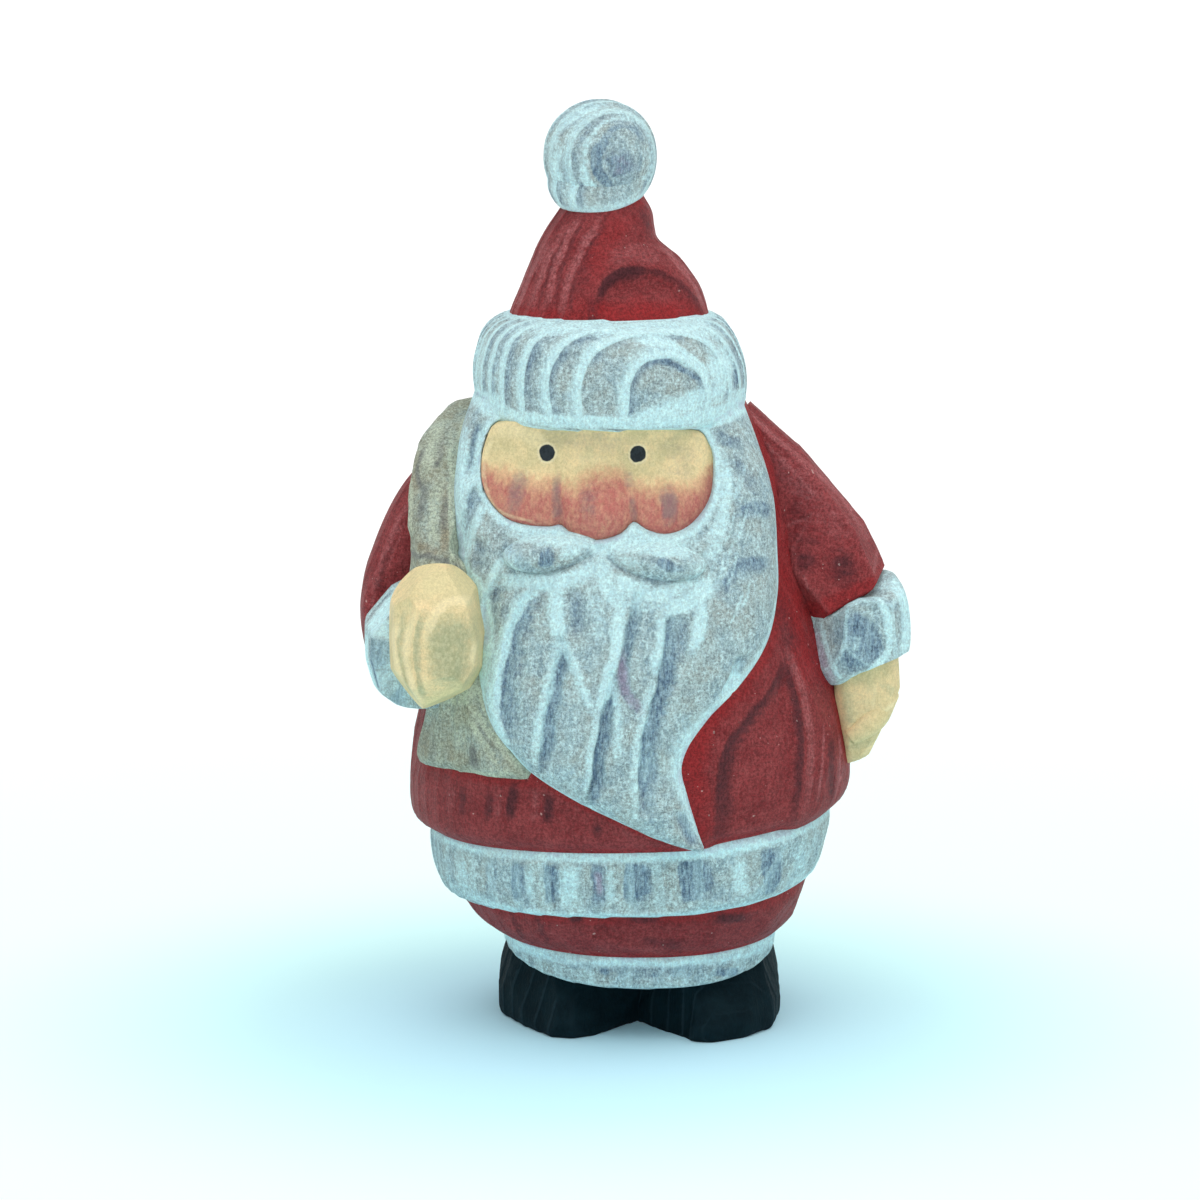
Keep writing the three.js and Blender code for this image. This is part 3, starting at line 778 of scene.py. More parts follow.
def make_red_paint():
    """Coat and cap: brick red with dark hollows and a painted shadow in the cap's scoop, pinkish paler ridges
    and convex edges, and a fuller red along the seams. Dust shows as a few pale specks."""
    material, p, rings, brush = start_paint("red_paint", 1.0, 1.3)
    lip = use(p, node_groups["painted lip"], Width=1.5)
    red = p.mix(brush["Patch"], paint(120, 40, 43), paint(136, 54, 56))
    red = layered(p, brush, red, Fleck=(0.4, 150, 74, 75), Grit=(0.45, 92, 34, 38),
                  Streak=(0.3, 112, 34, 38), Drag=(0.18, 160, 84, 84))
    full = p.most(p.times(lip["Lip"], 0.6), p.mark("tint"))
    colour = p.mix(p.times(full, 0.85), red, paint(146, 28, 31))
    # The wash strokes are dark paint, and in the cap's scoop a painted shadow.
    dark = p.most(p.times(rings["Hollow"], 0.6), brushed(p, "wash_and_shade"))
    colour = p.mix(p.times(dark, 0.85), colour, paint(70, 34, 40))
    light = p.most(p.times(rings["Ridge"], 0.5), p.times(p.mark("edge"), 0.4), brushed(p, "lip"))
    light = p.times(light, p.step(brush["Streak"], 0.0, 0.7, 0.5, 0.9))
    colour = p.mix(light, colour, paint(176, 106, 108))
    dust = p.step(p.noise(p.place(), 1.6, 1.0), 0.76, 0.79)
    colour = p.mix(p.times(dust, 0.6), colour, paint(205, 170, 165))
    finish_paint(p, grained(p, colour, 0.17), rings, brush, (0.5, 0.64), 0.16, Streak=0.03, Fleck=0.015)
    return material


eye_radius = 0.9
eye_places = [(-10.7, 70.45), (-0.25, 70.25)]


def make_skin_paint():
    """Face and hands: cream over an olive ground, rubbed through in the hollows. The tint is a blush on the
    face and a warmer cream on the hands. The face also has two black dots for eyes, each in a pale halo."""
    material, p, rings, brush = start_paint("skin_paint", 0.9, 1.4)
    where = p.node("ShaderNodeSeparateXYZ", Vector=p.place()).outputs
    on_face = p.step(where["Z"], 59.0, 60.0)
    cream = p.mix(brush["Patch"], paint(214, 198, 150), paint(242, 216, 166))
    cream = layered(p, brush, cream, Fleck=(0.4, 238, 222, 176), Grit=(0.4, 196, 178, 132))
    olive = p.mix(brush["Fleck"], paint(162, 165, 130), paint(186, 186, 150))
    colour = p.mix(p.times(rings["Hollow"], 0.5), cream, olive)
    rosy = p.mix(brush["Patch"], paint(194, 110, 104), paint(180, 96, 94))
    rosy = layered(p, brush, rosy, Fleck=(0.6, 206, 144, 128), Grit=(0.6, 156, 84, 80))
    tint = p.mark("tint")
    ragged = p.times(p.sway(p.place((1, 1, 0.4)), 1.8, 0.3), p.step(tint, 0.0, 0.3))
    felt = p.plus(tint, ragged)
    peach = p.times(p.step(felt, 0.0, 0.3), on_face, 0.5)
    colour = p.mix(peach, colour, paint(228, 178, 138))
    warm = p.mix(on_face, paint(222, 208, 160), rosy)
    colour = p.mix(p.step(felt, 0.05, 1.0, 0.0, 0.96), colour, warm)
    smudge = p.times(brushed(p, "wash_and_shade", 0.4), p.step(on_face, 0.0, 1.0, 0.85, 0.6))
    colour = p.mix(smudge, colour, p.mix(on_face, olive, paint(120, 114, 120)))
    # Cream lip strokes, and along the face's left border a painted highlight.
    colour = p.mix(p.times(brushed(p, "lip", 0.4), 0.7), colour, paint(244, 228, 184))
    black = p.mix(brush["Fleck"], paint(30, 38, 44), paint(46, 54, 60))
    wobble = p.sway(p.place(), 0.8, 0.14)
    for x, z in eye_places:
        from_x, from_z = p.minus(where["X"], x), p.minus(where["Z"], z)
        away = p.math("SQRT", p.plus(p.times(from_x, from_x), p.times(from_z, from_z, 0.85)))
        away = p.plus(away, wobble)
        halo = p.step(away, eye_radius + 0.1, eye_radius + 0.35, 0.45, 0.0)
        colour = p.mix(halo, colour, paint(246, 234, 200))
        dot = p.step(away, eye_radius - 0.06, eye_radius + 0.05, 1.0, 0.0)
        colour = p.mix(dot, colour, black)
    finish_paint(p, grained(p, colour, 0.045), rings, brush, (0.52, 0.68), 0.2, Streak=0.02, Fleck=0.015)
    return material


def make_sack_paint():
    """The sack: a thin grey-green over bare brown wood, paler along its edges. The tint is the bare brown."""
    material, p, rings, brush = start_paint("sack_paint", 0.8, 1.4)
    lip = use(p, node_groups["painted lip"], Width=0.7)
    cloth = p.mix(brush["Patch"], paint(150, 152, 134), paint(154, 170, 164))
    cloth = layered(p, brush, cloth, Fleck=(0.65, 184, 194, 180), Grit=(0.6, 112, 106, 86),
                    Streak=(0.35, 126, 126, 108))
    cloth = p.mix(p.times(brushed(p, "tint"), 0.5), cloth, paint(140, 124, 98))
    dark = p.most(p.times(rings["Hollow"], 0.6), brushed(p, "wash_and_shade"))
    colour = p.mix(p.times(dark, 0.8), cloth, paint(108, 112, 112))
    light = p.most(p.times(rings["Ridge"], 0.4), p.times(lip["Lip"], 0.8), brushed(p, "lip"))
    light = p.most(light, p.times(p.mark("edge"), 0.5))
    light = p.times(light, p.step(brush["Streak"], 0.0, 0.6, 0.6, 1.0))
    colour = p.mix(light, colour, paint(184, 194, 174))
    finish_paint(p, grained(p, colour, 0.16), rings, brush, (0.64, 0.78), 0.2, Streak=0.03, Fleck=0.02)
    return material


def make_boot_paint():
    """The boots: blue-black, a little rubbed on the rings and along the edges."""
    material, p, rings, brush = start_paint("boot_paint", 0.3, 1.2)
    black = p.mix(brush["Patch"], paint(8, 25, 31), paint(14, 33, 39))
    worn_edge = p.times(p.mark("edge"), 0.12)
    rubbed = p.most(p.times(rings["Ridge"], 0.45), worn_edge, p.times(brush["Fleck"], 0.1))
    colour = p.mix(rubbed, black, paint(46, 64, 72))
    finish_paint(p, colour, rings, brush, (0.6, 0.75), 0.05, Streak=0.03)
    return material


node_groups = {
    "ring marks": make_ring_marks(),
    "brush marks": make_brush_marks(),
    "brush edge": make_brush_edge(),
    "painted lip": make_painted_lip(),
}
finishes = {
    "whitewash": make_whitewash(),
    "red_paint": make_red_paint(),
    "skin_paint": make_skin_paint(),
    "sack_paint": make_sack_paint(),
    "boot_paint": make_boot_paint(),
}


# The brush work that isn't left to chance, in millimetres across and up in the front view. On white the wash
# is blue, the lip is white and the tint lilac; on red the lip is a paler pink and the tint a fuller red; on
# the sack the tint is bare wood. The wash is paint, and on the cap's scoop and the bobble it is also painted
# shadow; one lip stroke on the face is a painted highlight.

face_outline = rounded([
    (-16.4, 73.6), (-12, 74), (-4, 74.6), (2, 74.2), (3.8, 73.1), (6.8, 72.7), (7.9, 71.3), (8.5, 69.6),
    (8.5, 66.6), (8, 64.7), (6.7, 62.8), (5, 61.5), (2.8, 61), (0.8, 61.6), (-0.8, 62.5), (-2.2, 61.3),
    (-4.9, 60.6), (-7.5, 61), (-9, 62.1), (-10.6, 62), (-13.4, 62.2), (-15.6, 63), (-17.2, 64.6),
    (-18.1, 66.4), (-18.3, 68.8), (-17.8, 71.4),
])
blush_border = [
    (-18.1, 68.6), (-14.3, 68), (-11.7, 67), (-9.4, 67.4), (-7.6, 67), (-5.3, 68.4), (-2.3, 68.6),
    (-0.8, 67), (2.4, 66.8), (5.3, 66.3), (8, 68.2),
]
scoop_outline = rounded([
    (-5.8, 83), (-5.4, 86), (-4.9, 88.2), (-4, 89.7), (-2.6, 90.7), (-1, 91.2), (0.6, 91.2), (2.3, 90.7),
    (4, 89.8), (5.6, 88.4), (6.9, 86.6), (7.8, 84.6), (8.2, 83),
])
coat_hollow = rounded([
    (17, 46.5), (16.2, 44.6), (14.9, 42.7), (12.9, 40.7), (11, 38.8), (9.6, 36.4), (8.8, 33.4), (8.3, 29),
    (8.2, 24), (17.4, 24), (18.4, 29.5), (19, 33.5), (18.9, 37), (18.5, 40), (17.9, 43),
])
ridges = [
    (1, (1.5, 0.8, 1, 1), [(-11.5, 56), (-14, 53), (-15.5, 48.5), (-16.5, 44), (-16.5, 40.5), (-15.5, 37.5)]),
    (1, (1.5, 1.2, 1, 1), [(-9.5, 57), (-9.5, 53), (-9, 50)]),
    (0.8, (1.3, 0.6, 1, 1), [(-9, 50), (-10, 45.5), (-11, 41.5), (-11.8, 36)]),
    (0.7, (1, 1, 1, 1), [(-9, 50), (-7.5, 46.5), (-5.5, 42)]),
    (1, (1.4, 0.9, 1, 1), [(-2, 55.5), (-2.5, 49.5), (-3.6, 45.5), (-4.7, 41.5)]),
    (0.6, (1, 0.5, 1, 1), [(-4.7, 41.5), (-5.5, 37.5), (-6.2, 31.5)]),
    (0.6, 0.8, [(-3.2, 45), (-2.5, 41), (-2.6, 36)]),
    (0.9, (1.3, 0.6, 1, 1), [(2.6, 52.5), (2.4, 49.5), (1.8, 46)]),
    (0.6, (1.1, 0.6, 1, 1), [(1.8, 46), (1, 43), (0, 39), (-0.5, 35), (-0.6, 29)]),
    (0.9, (1.2, 0.9, 1, 1), [(7, 55), (7, 51.5), (6.2, 48.5)]),
]
gouges = [
    (0.8, (0.4, 3.2, 1, 1), [(-12.5, 55), (-14.3, 52), (-15.4, 48), (-16, 44.5), (-16.2, 41.5), (-15, 38.5)]),
    (1, (0.4, 1.8, 1, 1), [(-9.2, 49), (-9.6, 46), (-10.6, 42), (-11, 38.5), (-11.4, 35)]),
    (1, (0.4, 1.7, 1, 1), [(-3.3, 45.5), (-4.2, 41), (-4.9, 37.5), (-5.4, 33.5), (-5.8, 31)]),
    (0.9, (0.4, 1.2, 0.6, 0.6), [(-0.4, 54.5), (-1.4, 50), (-2.1, 47), (-1.9, 44), (-0.6, 42)]),
    (1, (0.5, 2.6, 1, 0.5), [(3.1, 52), (2.5, 46.5), (1.5, 42.5), (0.6, 39.5), (0.1, 35.5), (0.1, 30.5)]),
    (0.6, (0.8, 0.8, 2, 0.4), [(5, 52), (4.6, 48)]),
    (0.9, (1.1, 1.2, 0.6, 0.6), [(11.8, 47), (10, 43.2)]),
    (0.8, (1, 1.2, 0.6, 0.6), [(4.6, 29.6), (6, 26.2)]),
    (0.6, (1, 1.4, 0.6, 0.6), [(-7.2, 55), (-7.4, 50.5)]),
    (0.7, (0.4, 2.6, 1, 0.6), [(-16.5, 56), (-17.9, 53), (-17.9, 49.5)]),
    (0.8, (0.8, 1.5, 0.5, 0.5), [(-18.5, 73), (-19.4, 70), (-20.2, 67)]),
    (0.7, (0.6, 1.7, 0.8, 0.3), [(-19, 66), (-20.4, 62.5), (-20.8, 59)]),
    (0.5, (0.5, 2.2, 0.8, 0.3), [(-18.7, 60.5), (-19.1, 57)]),
]
creases = [
    (0.8, 0.6, [(-15.3, 60.5), (-15.3, 58.8), (-13, 57.7), (-10.2, 57.4), (-8, 58.4), (-4.8, 59.8)]),
    (0.7, 0.6, [(-4.2, 59.8), (-2.3, 58), (0, 56.9), (2.6, 56.3), (5.3, 57), (7, 58.8)]),
]
full_blush = [
    (1, 1.8, [(-3.4, 65.6), (-2.8, 62.6)]),
    (1, 1.2, [(-0.5, 62.8), (1.3, 61.8), (5.5, 61.8), (7.8, 64.5), (8.2, 68)]),
    (0.95, 0.9, [(-17.9, 68.4), (-17.4, 64.4), (-14.9, 62.8), (-10.1, 62.5)]),
    (0.95, 0.9, [(-8.3, 62.2), (-4.9, 61.3), (-2.1, 61.8)]),
]
scratch_feet = [
    (7.4, 56), (8.2, 55.4), (9, 56.2), (9.8, 55.6), (8.6, 59.4), (9.4, 60), (10.2, 59.4), (11, 60.4),
    (10, 64), (10.8, 65), (10.2, 51), (11.2, 52.2),
]
scratches = [(0.5, 0.3, [(x, z), (x + 1, z + 1.8), (x + 1.6, z + 3.8)]) for x, z in scratch_feet]
moustache_marks = {
    "wash_and_shade": [
        (1, 0.6, [(-15, 60.8), (-15, 59)]),
        (1.2, (0.9, 1.5, 0.5, 0.5), [(-10.9, 60), (-11, 58)]),
        (1.1, (1.2, 2, 0.9, 0.9), [(2, 58.8), (3.8, 58)]),
        (0.4, 0.4, [(-14.6, 58.3), (-11.6, 57.4), (-8.4, 58), (-5.6, 59.4)]),
        (0.4, 0.4, [(-3, 58.2), (0, 56.7), (3, 56.2), (6, 57.2)]),
    ],
    "lip": [
        (1, 1.7, [(-14.8, 61.6), (-12, 61.6), (-8, 61.3), (-5, 60.5)]),
        (1, 1.7, [(-3.6, 60.2), (0, 60.6), (3, 60.4), (6, 60)]),
        (0.7, 1.2, [(-9, 59.6), (-6.4, 60)]),
        (0.6, 1.2, [(-2.4, 59.2), (-0.4, 58.4)]),
    ],
}


def blush(points):
    """The blush lies below a wavy border across the face and fades out over four millimetres across it: in
    full 2.4 below and gone 1.7 above. The strokes of full blush lie over it."""
    x, y, z = np.moveaxis(points, -1, 0)
    border = np.interp(x, *np.array(blush_border).T) + 0.5 * waves(x, y, z, 2.4, 3.0)
    below = 0.82 * smoothstep(border - z, -1.7, 2.4)
    return np.where(y < -8, np.maximum(below, strokes_at(points, full_blush)), 0)


brush_work = {
    "beard_apron": {
        "wash_and_shade": gouges + [(0.5, 0.5, path) for strength, width, path in creases] + [
            (0.8, (1, 1, 2, 0.5), [(11.4, 63.8), (13.4, 64.3), (15.1, 63.6)]),
            (0.9, (0.8, 0.8, 2.4, 0.6), [(9, 55.6), (11.7, 58), (14.8, 57.8)]),
            (0.65, (0.8, 0.8, 2.4, 0.8), [(8.6, 72.6), (11.8, 71)]),
            (0.5, (1, 1, 2, 2), [(11, 69.5), (13.2, 66)]),
        ],
        "lip": ridges + [
            (0.8, 1.6, [(-4.4, 58.4), (-4.1, 56), (-2.5, 54)]),
            (1, (1.8, 1.6, 1.6, 1.6), [(3.1, 53.3), (5.5, 54), (8.2, 55.6)]),
            (0.85, 1.5, [(-16, 55.8), (-12.5, 56.2), (-9, 56.2), (-4.6, 58)]),
            (0.85, 1.4, [(-3.2, 56.6), (1.1, 55), (6.8, 56)]),
            (0.95, 0.9, [(-17.8, 73), (-18.3, 70.8), (-19.1, 67.6), (-20.5, 64.8)]),
            (0.9, 0.8, [(-17.6, 64.5), (-19.1, 62), (-20.2, 58.3)]),
            (0.85, 0.9, [(-15.6, 58.6), (-17, 56), (-18.2, 53.5)]),
            (0.9, 1.2, [(-20.4, 72), (-20.9, 66), (-21, 60), (-20.2, 56)]),
            (0.8, 1.3, [(8.2, 60.6), (9.3, 62.5), (9.8, 66), (9.5, 70)]),
            (0.7, 1.2, [(7.4, 58.5), (9.2, 60.4)]),
            (0.9, 1.4, [(-14.6, 61.6), (-11, 61.2), (-7, 60.4), (-4.6, 60), (-1.4, 60.8), (2.4, 60.2),
                        (6, 60.6)]),
            (0.5, 0.8, [(7, 29), (6.4, 33), (6.8, 37), (9, 40.6), (12, 44)]),
            (0.7, 1.2, [(-20.6, 63), (-20.8, 60), (-20.4, 56)]),
            (0.6, (1.6, 2, 2, 2), [(-1, 53.4), (1, 54.4), (4, 54.6)]),
            (0.4, 1.6, [(-5.6, 56.6), (-5.2, 53), (-4.6, 50)]),
        ] + scratches,
        "tint": [(0.7, 0.8, [(-2.2, 48.5), (-1.6, 44), (0, 42)])],
    },
    "moustache_left": moustache_marks,
    "moustache_right": moustache_marks,
    "face_board": {
        "tint": blush,
        "wash_and_shade": [
            (0.6, 1.4, [(-13.4, 68), (-14.2, 66), (-14.6, 63.6)]),
            (0.65, 0.8, [(-9.4, 67.8), (-9.6, 65.5), (-9.3, 62.8)]),
            (0.45, 1.4, [(-5.8, 66.6), (-6, 63.5)]),
            (0.95, 1.5, [(3.2, 66), (3.4, 62.9)]),
            (0.6, 0.6, [(-0.9, 65.3), (-0.6, 62.6)]),
            (0.4, 0.9, [(-1.4, 68.2), (-1, 66.4)]),
            (0.3, (4, 4, 2, 1.6), [(-10, 72.6), (-6.6, 72), (-2, 71.4)]),
            (0.3, (2, 2, 2.4, 2.4), [(2.6, 71.6), (6, 69)]),
            (0.3, (1.4, 1.4, 1.4, 1.4), [(3, 68.4), (6.4, 67.8)]),
        ],
        "lip": [
            (0.5, 1.6, [(-16.6, 72.6), (-13.4, 72.8), (-11.6, 71.4)]),
            (0.3, 1.2, [(-8, 70), (-4, 69.6)]),
            # This last lip is a painted highlight: a pale line along the face's left border that lightens the
            # shade in the recess there.
            (0.5, 0.35, [(-16.4, 73.2), (-17.6, 70.4), (-18, 67.8), (-17.2, 65), (-15.6, 63.4), (-11, 62.4)]),
        ],
    },
    "brim": {
        "lip": [
            (0.8, (2, 1.6, 2, 2), [(9.6, 82), (9.4, 79), (8.8, 76.2)]),
            (1, 0.9, [(-1, 84), (3, 83), (6, 81), (8, 78.8)]),
            (0.7, 0.4, [(0.6, 82.2), (3.6, 81.6), (6.2, 80)]),
            (0.85, (2, 2, 1.6, 1.8), [(-1.4, 73.6), (2, 75), (5.4, 76.2), (8.6, 77.4)]),
            (0.6, 1.4, [(-18.2, 82.4), (-19.4, 79), (-19, 76)]),
            (0.35, (1.6, 1.6, 3, 3), [(-16.2, 82), (-16.6, 77)]),
            (1, 2.2, [(9.2, 81), (9.8, 78.6)]),
            (1, 1.2, [(-18.4, 75), (-14, 74.4), (-9, 74.3), (0, 74.2), (7, 74.5), (11.6, 75.4)]),
            (0.8, 1.2, [(-14.6, 84.4), (-8, 84.8), (0, 84.6), (6, 84.6), (9.6, 83.4)]),
        ],
        "wash_and_shade": [
            (1, 0.5, [(0.4, 81.4), (3.2, 81), (5.6, 79.8), (7.4, 78.4)]),
            (0.6, 0.3, [(2, 82.6), (5, 81.2), (7, 79.4)]),
            (1.2, 0.6, [(10.6, 81.6), (11.3, 79.4), (11.4, 77.4)]),
            (0.5, 1.4, [(10.8, 82.4), (11.2, 77.4)]),
        ],
    },
    "bobble_ball": {
        "wash_and_shade": [
            # The first stroke and the one at strength 1.6, two dark curves down the bobble's left, are a
            # painted shadow of a step in the wood.
            (1.5, (0.4, 1.2, 0.6, 0.6), [(-4, 106), (-5.1, 104), (-4.9, 102), (-3.4, 100)]),
            (0.7, 0.5, [(-4, 106), (-2.4, 107.2), (-0.4, 106.8), (0.8, 105)]),
            (1, (2.2, 2.4, 2, 2), [(-2.8, 104), (-2, 101.4)]),
            (0.35, (2.4, 2.4, 4, 4), [(-8.4, 104.4), (-7.6, 101)]),
            (0.5, 0.4, [(0.2, 103.8), (-0.2, 101.6)]),
            (0.5, 0.5, [(-7.2, 104.4), (-6.2, 106.4), (-4, 107.6), (-1, 107.6)]),
            (0.5, 0.5, [(-8.6, 104.4), (-8.4, 101.4), (-7, 99)]),
            (0.6, 0.7, [(-5.6, 100.4), (-3, 99), (0, 99.4)]),
            (1.6, (0.4, 1, 0.8, 0.4), [(-5, 105), (-5.3, 103.4), (-5.1, 101.8), (-4.2, 100.8)]),
            (0.2, 7, [(-5, 105), (-4.6, 101)]),
        ],
        "lip": [
            (0.6, 0.5, [(-6.2, 102), (-6.2, 104.6), (-5, 106.8), (-2.4, 108.2), (0.4, 107.4), (1.8, 104.6)]),
            (0.7, 0.8, [(-9.4, 105), (-9.8, 102), (-8.6, 99.4)]),
            (0.7, 0.7, [(-10.6, 104), (-9.6, 106.6), (-7, 108.6), (-4, 109.4)]),
            (0.8, 0.8, [(-6.6, 103.4), (-6.2, 101), (-5, 99.4)]),
            (0.5, 0.7, [(1.5, 104.6), (1.4, 102), (0.2, 99.8)]),
        ],
        "tint": [(0.25, 2, [(-2.4, 104), (-1.6, 101.6)])],
    },
    "cap_cone": {
        "wash_and_shade": [
            # The first two strokes, along the scoop's arched top, and the fourth, down its left wall, are
            # painted shadow under the overhanging fold.
            (1, (0.5, 0.7, 1.8, 0.5), [(-4.9, 88.1), (-4, 89.6), (-2.6, 90.6), (-1, 91), (0.6, 91)]),
            (0.6, (0.4, 0.6, 1.2, 0.4), [(0.6, 91), (2.3, 90.5), (4, 89.6), (5.6, 88.2), (7.2, 86)]),
            (0.35, 1.6, [(-5.6, 94.6), (-6.4, 91.7), (-7, 88.6)]),
            (0.5, (0.4, 1.8, 1, 1), [(-5.6, 87.6), (-5.8, 84.4)]),
            (0.5, 0.35, [(-4.1, 96.4), (-5.9, 93), (-7.4, 89.6), (-8.1, 86)]),
            (0.5, 0.35, [(-6.3, 96.6), (-8.6, 92), (-10, 87)]),
            (0.5, 0.35, [(-8.1, 95.4), (-10.6, 90.4), (-11.8, 86.5)]),
            (0.5, 0.5, [(0.2, 97.4), (1.3, 94.8)]),
        ],
        "lip": [
            (0.55, (1.1, 0.3, 1, 1), [(-4.6, 96.4), (-6.4, 93), (-8, 89.6), (-8.8, 86)]),
            (0.55, (0.9, 0.3, 1, 1), [(-6.8, 96.6), (-9.2, 92), (-10.6, 87)]),
            (0.5, (0.8, 0.3, 1, 1), [(-8.6, 95.4), (-11.2, 90.4), (-12.4, 86.5)]),
            (0.5, (0.7, 0.3, 1, 1), [(-10.2, 94), (-13, 89.4), (-14.3, 86)]),
            (0.3, (2.4, 2.4, 1.8, 1.4), [(-3.4, 92.4), (-0.4, 92.8), (2, 92)]),
            (0.6, 0.4, [(2.4, 93.4), (4.6, 91), (6.3, 88.8), (7.6, 86)]),
        ],
        "tint": [
            (0.9, 2.4, [(-6.4, 86), (0, 85.4), (5, 85.4)]),
            (0.45, 2.2, [(-2.4, 96), (-4, 94), (-6, 90)]),
        ],
    },
    "coat_body": {
        "wash_and_shade": [
            (0.8, (0.5, 2.4, 0.6, 0.6), [(17, 46), (15.2, 43), (12.6, 40.4), (10.4, 37.6), (9.2, 34),
                                         (8.8, 26)]),
            (0.75, (1.2, 0.4, 0.6, 0.6), [(17, 46), (17.9, 42.5), (18.7, 39), (18.9, 35), (18.2, 27)]),
            (0.45, 1.8, [(15.8, 53), (17, 49.5), (17.6, 47)]),
            (0.6, (0.5, 1, 0.6, 0.6), [(-20.6, 31), (-21, 28)]),
            (0.6, (0.5, 1, 0.6, 0.6), [(-17.5, 31.5), (-17.8, 28)]),
            (0.9, (0.5, 1.2, 0.6, 0.6), [(-14.7, 32.4), (-15.2, 28.4)]),
            (0.9, (0.6, 1.4, 0.6, 0.6), [(-10.6, 31.4), (-10.9, 28.4)]),
            (0.8, 0.9, [(-4.9, 27.8), (-4.8, 27)]),
            (0.6, 0.7, [(22.4, 36), (22.8, 28)]),
        ],
        "lip": [
            (0.45, 0.8, [(17.2, 47), (18.8, 43), (19.8, 38.5), (20.1, 34.5), (19.4, 28)]),
            (0.6, 0.3, [(23.6, 36), (23.9, 32), (23.2, 28)]),
            (0.6, 0.25, [(21.6, 38), (21.4, 33), (20.8, 28.6)]),
            (0.3, 0.8, [(-22, 31), (-22.2, 27.7)]),
            (0.3, 0.8, [(-16.3, 32), (-16.6, 28.1)]),
            (0.3, 0.7, [(-12, 32), (-12.2, 28.1)]),
        ],
        "tint": [
            (0.8, 3, [(16.5, 58.7), (15.8, 53), (13.6, 48.5), (10, 44), (6.8, 39.5), (5.6, 35), (7, 27)]),
            (0.7, 1.6, [(18.4, 54), (18.4, 49), (20.2, 43)]),
        ],
    },
    "resting_sleeve": {
        "wash_and_shade": [
            (0.4, 2, [(18.9, 63), (19.3, 60.6)]),
            (0.7, (2.2, 2, 2, 2), [(23.6, 57), (24.2, 54.6)]),
            (0.65, (2, 1.8, 1.8, 1.8), [(19.2, 57.4), (20.2, 55.6)]),
            (0.4, (0.6, 0.6, 1.4, 0.3), [(17.5, 59.6), (19.3, 59.4), (21.6, 58.4)]),
            (0.35, (3, 1, 2, 2), [(13.6, 70), (17, 66.5), (21, 62.5)]),
        ],
        "lip": [
            (0.6, (0.3, 0.9, 0.5, 0.6), [(12.2, 74.4), (15.2, 71), (18, 68.8), (21, 66.2), (24, 63.2),
                                         (27, 58.5)]),
            (0.6, (0.2, 0.3, 0.3, 0.3), [(14.8, 70), (18, 66.8), (21.6, 63)]),
            (0.5, 0.3, [(17.3, 60.4), (19.2, 61), (22, 60.6)]),
            (0.8, 0.3, [(19.4, 55), (19.8, 53)]),
            (0.5, 0.4, [(28.4, 57), (27.6, 54.6)]),
            (0.3, 3.5, [(17, 69), (21, 64), (24, 59)]),
        ],
    },
    "holding_sleeve": {
        "wash_and_shade": [
            (0.4, 0.8, [(-24.8, 62), (-24.8, 58)]),
            (0.45, 0.6, [(-28.6, 60), (-30, 55)]),
            (0.5, 0.5, [(-30, 57), (-31, 52)]),
        ],
        "lip": [
            (0.5, 0.6, [(-26.6, 64), (-29, 59.5), (-31, 54), (-31.8, 49.5)]),
            (0.4, 0.3, [(-27.6, 61), (-29.4, 56), (-29.8, 53)]),
        ],
    },
    "holding_cuff": {
        "wash_and_shade": [
            (1, 0.4, [(-30.8, 49), (-31.2, 46), (-30.2, 42.4)]),
            (1, 0.45, [(-29.4, 50), (-29.9, 46.5), (-29, 42.4), (-27.6, 40.8)]),
            (0.9, 0.4, [(-28.6, 46), (-28.4, 43), (-27, 41.2)]),
        ],
        "lip": [
            (1.2, 0.8, [(-27.4, 53.8), (-29.6, 51.6), (-31.4, 49.2)]),
            (0.9, 0.5, [(-31.9, 48.8), (-32, 46), (-31, 42.4), (-29, 40.4)]),
            (0.7, 0.5, [(-30.2, 50), (-30.6, 46), (-29.7, 42)]),
        ],
    },
    "fist": {
        "wash_and_shade": [
            (0.8, (3.4, 4, 2.6, 2.2), [(-21.6, 51.8), (-22, 49), (-21.6, 45.6)]),
            (0.6, (0.3, 1, 0.6, 0.6), [(-26.9, 53), (-27.7, 49.5), (-26.9, 45), (-25.3, 42)]),
            (0.7, (0.3, 1, 0.6, 0.6), [(-24.8, 53.4), (-25.7, 49.8), (-25.3, 45), (-24.7, 43)]),
        ],
        "tint": [
            (0.9, 2.4, [(-25, 56.4), (-21.4, 56.2), (-19.6, 54.8)]),
            (0.7, 1, [(-18.8, 53), (-18.6, 47.4)]),
            (0.9, (1.4, 1.4, 1.6, 1), [(-25, 42), (-21.7, 43.4), (-19.7, 44.6)]),
        ],
        "lip": [
            (0.8, 0.6, [(-25.6, 53), (-26.8, 49), (-26, 44.6), (-24.8, 42.4)]),
            (0.8, 0.6, [(-27.6, 52), (-28.2, 49), (-27.4, 45)]),
            (0.7, 0.8, [(-24.2, 50.6), (-23.4, 53), (-21, 54.4), (-19.2, 54)]),
            (0.9, 0.5, [(-18.9, 49.4), (-19.2, 47)]),
        ],
    },
    "sack_neck": {
        "wash_and_shade": [
            (0.7, (0.4, 1.1, 0.6, 0.6), [(-25.1, 66), (-25.7, 62)]),
            (0.5, (0.5, 1.5, 0.5, 0.5), [(-23.4, 71.3), (-24.2, 69)]),
            (0.5, (0.5, 1.2, 0.5, 0.5), [(-22.5, 64.6), (-23.1, 61)]),
            (1, 0.5, [(-27, 58), (-24.4, 58.2), (-22, 57.6), (-20.6, 56.6)]),
            (0.8, 0.4, [(-25, 70), (-26, 67.4), (-25.4, 65)]),
            (0.8, 0.4, [(-23, 69.4), (-24, 67.8)]),
        ],
        "tint": [
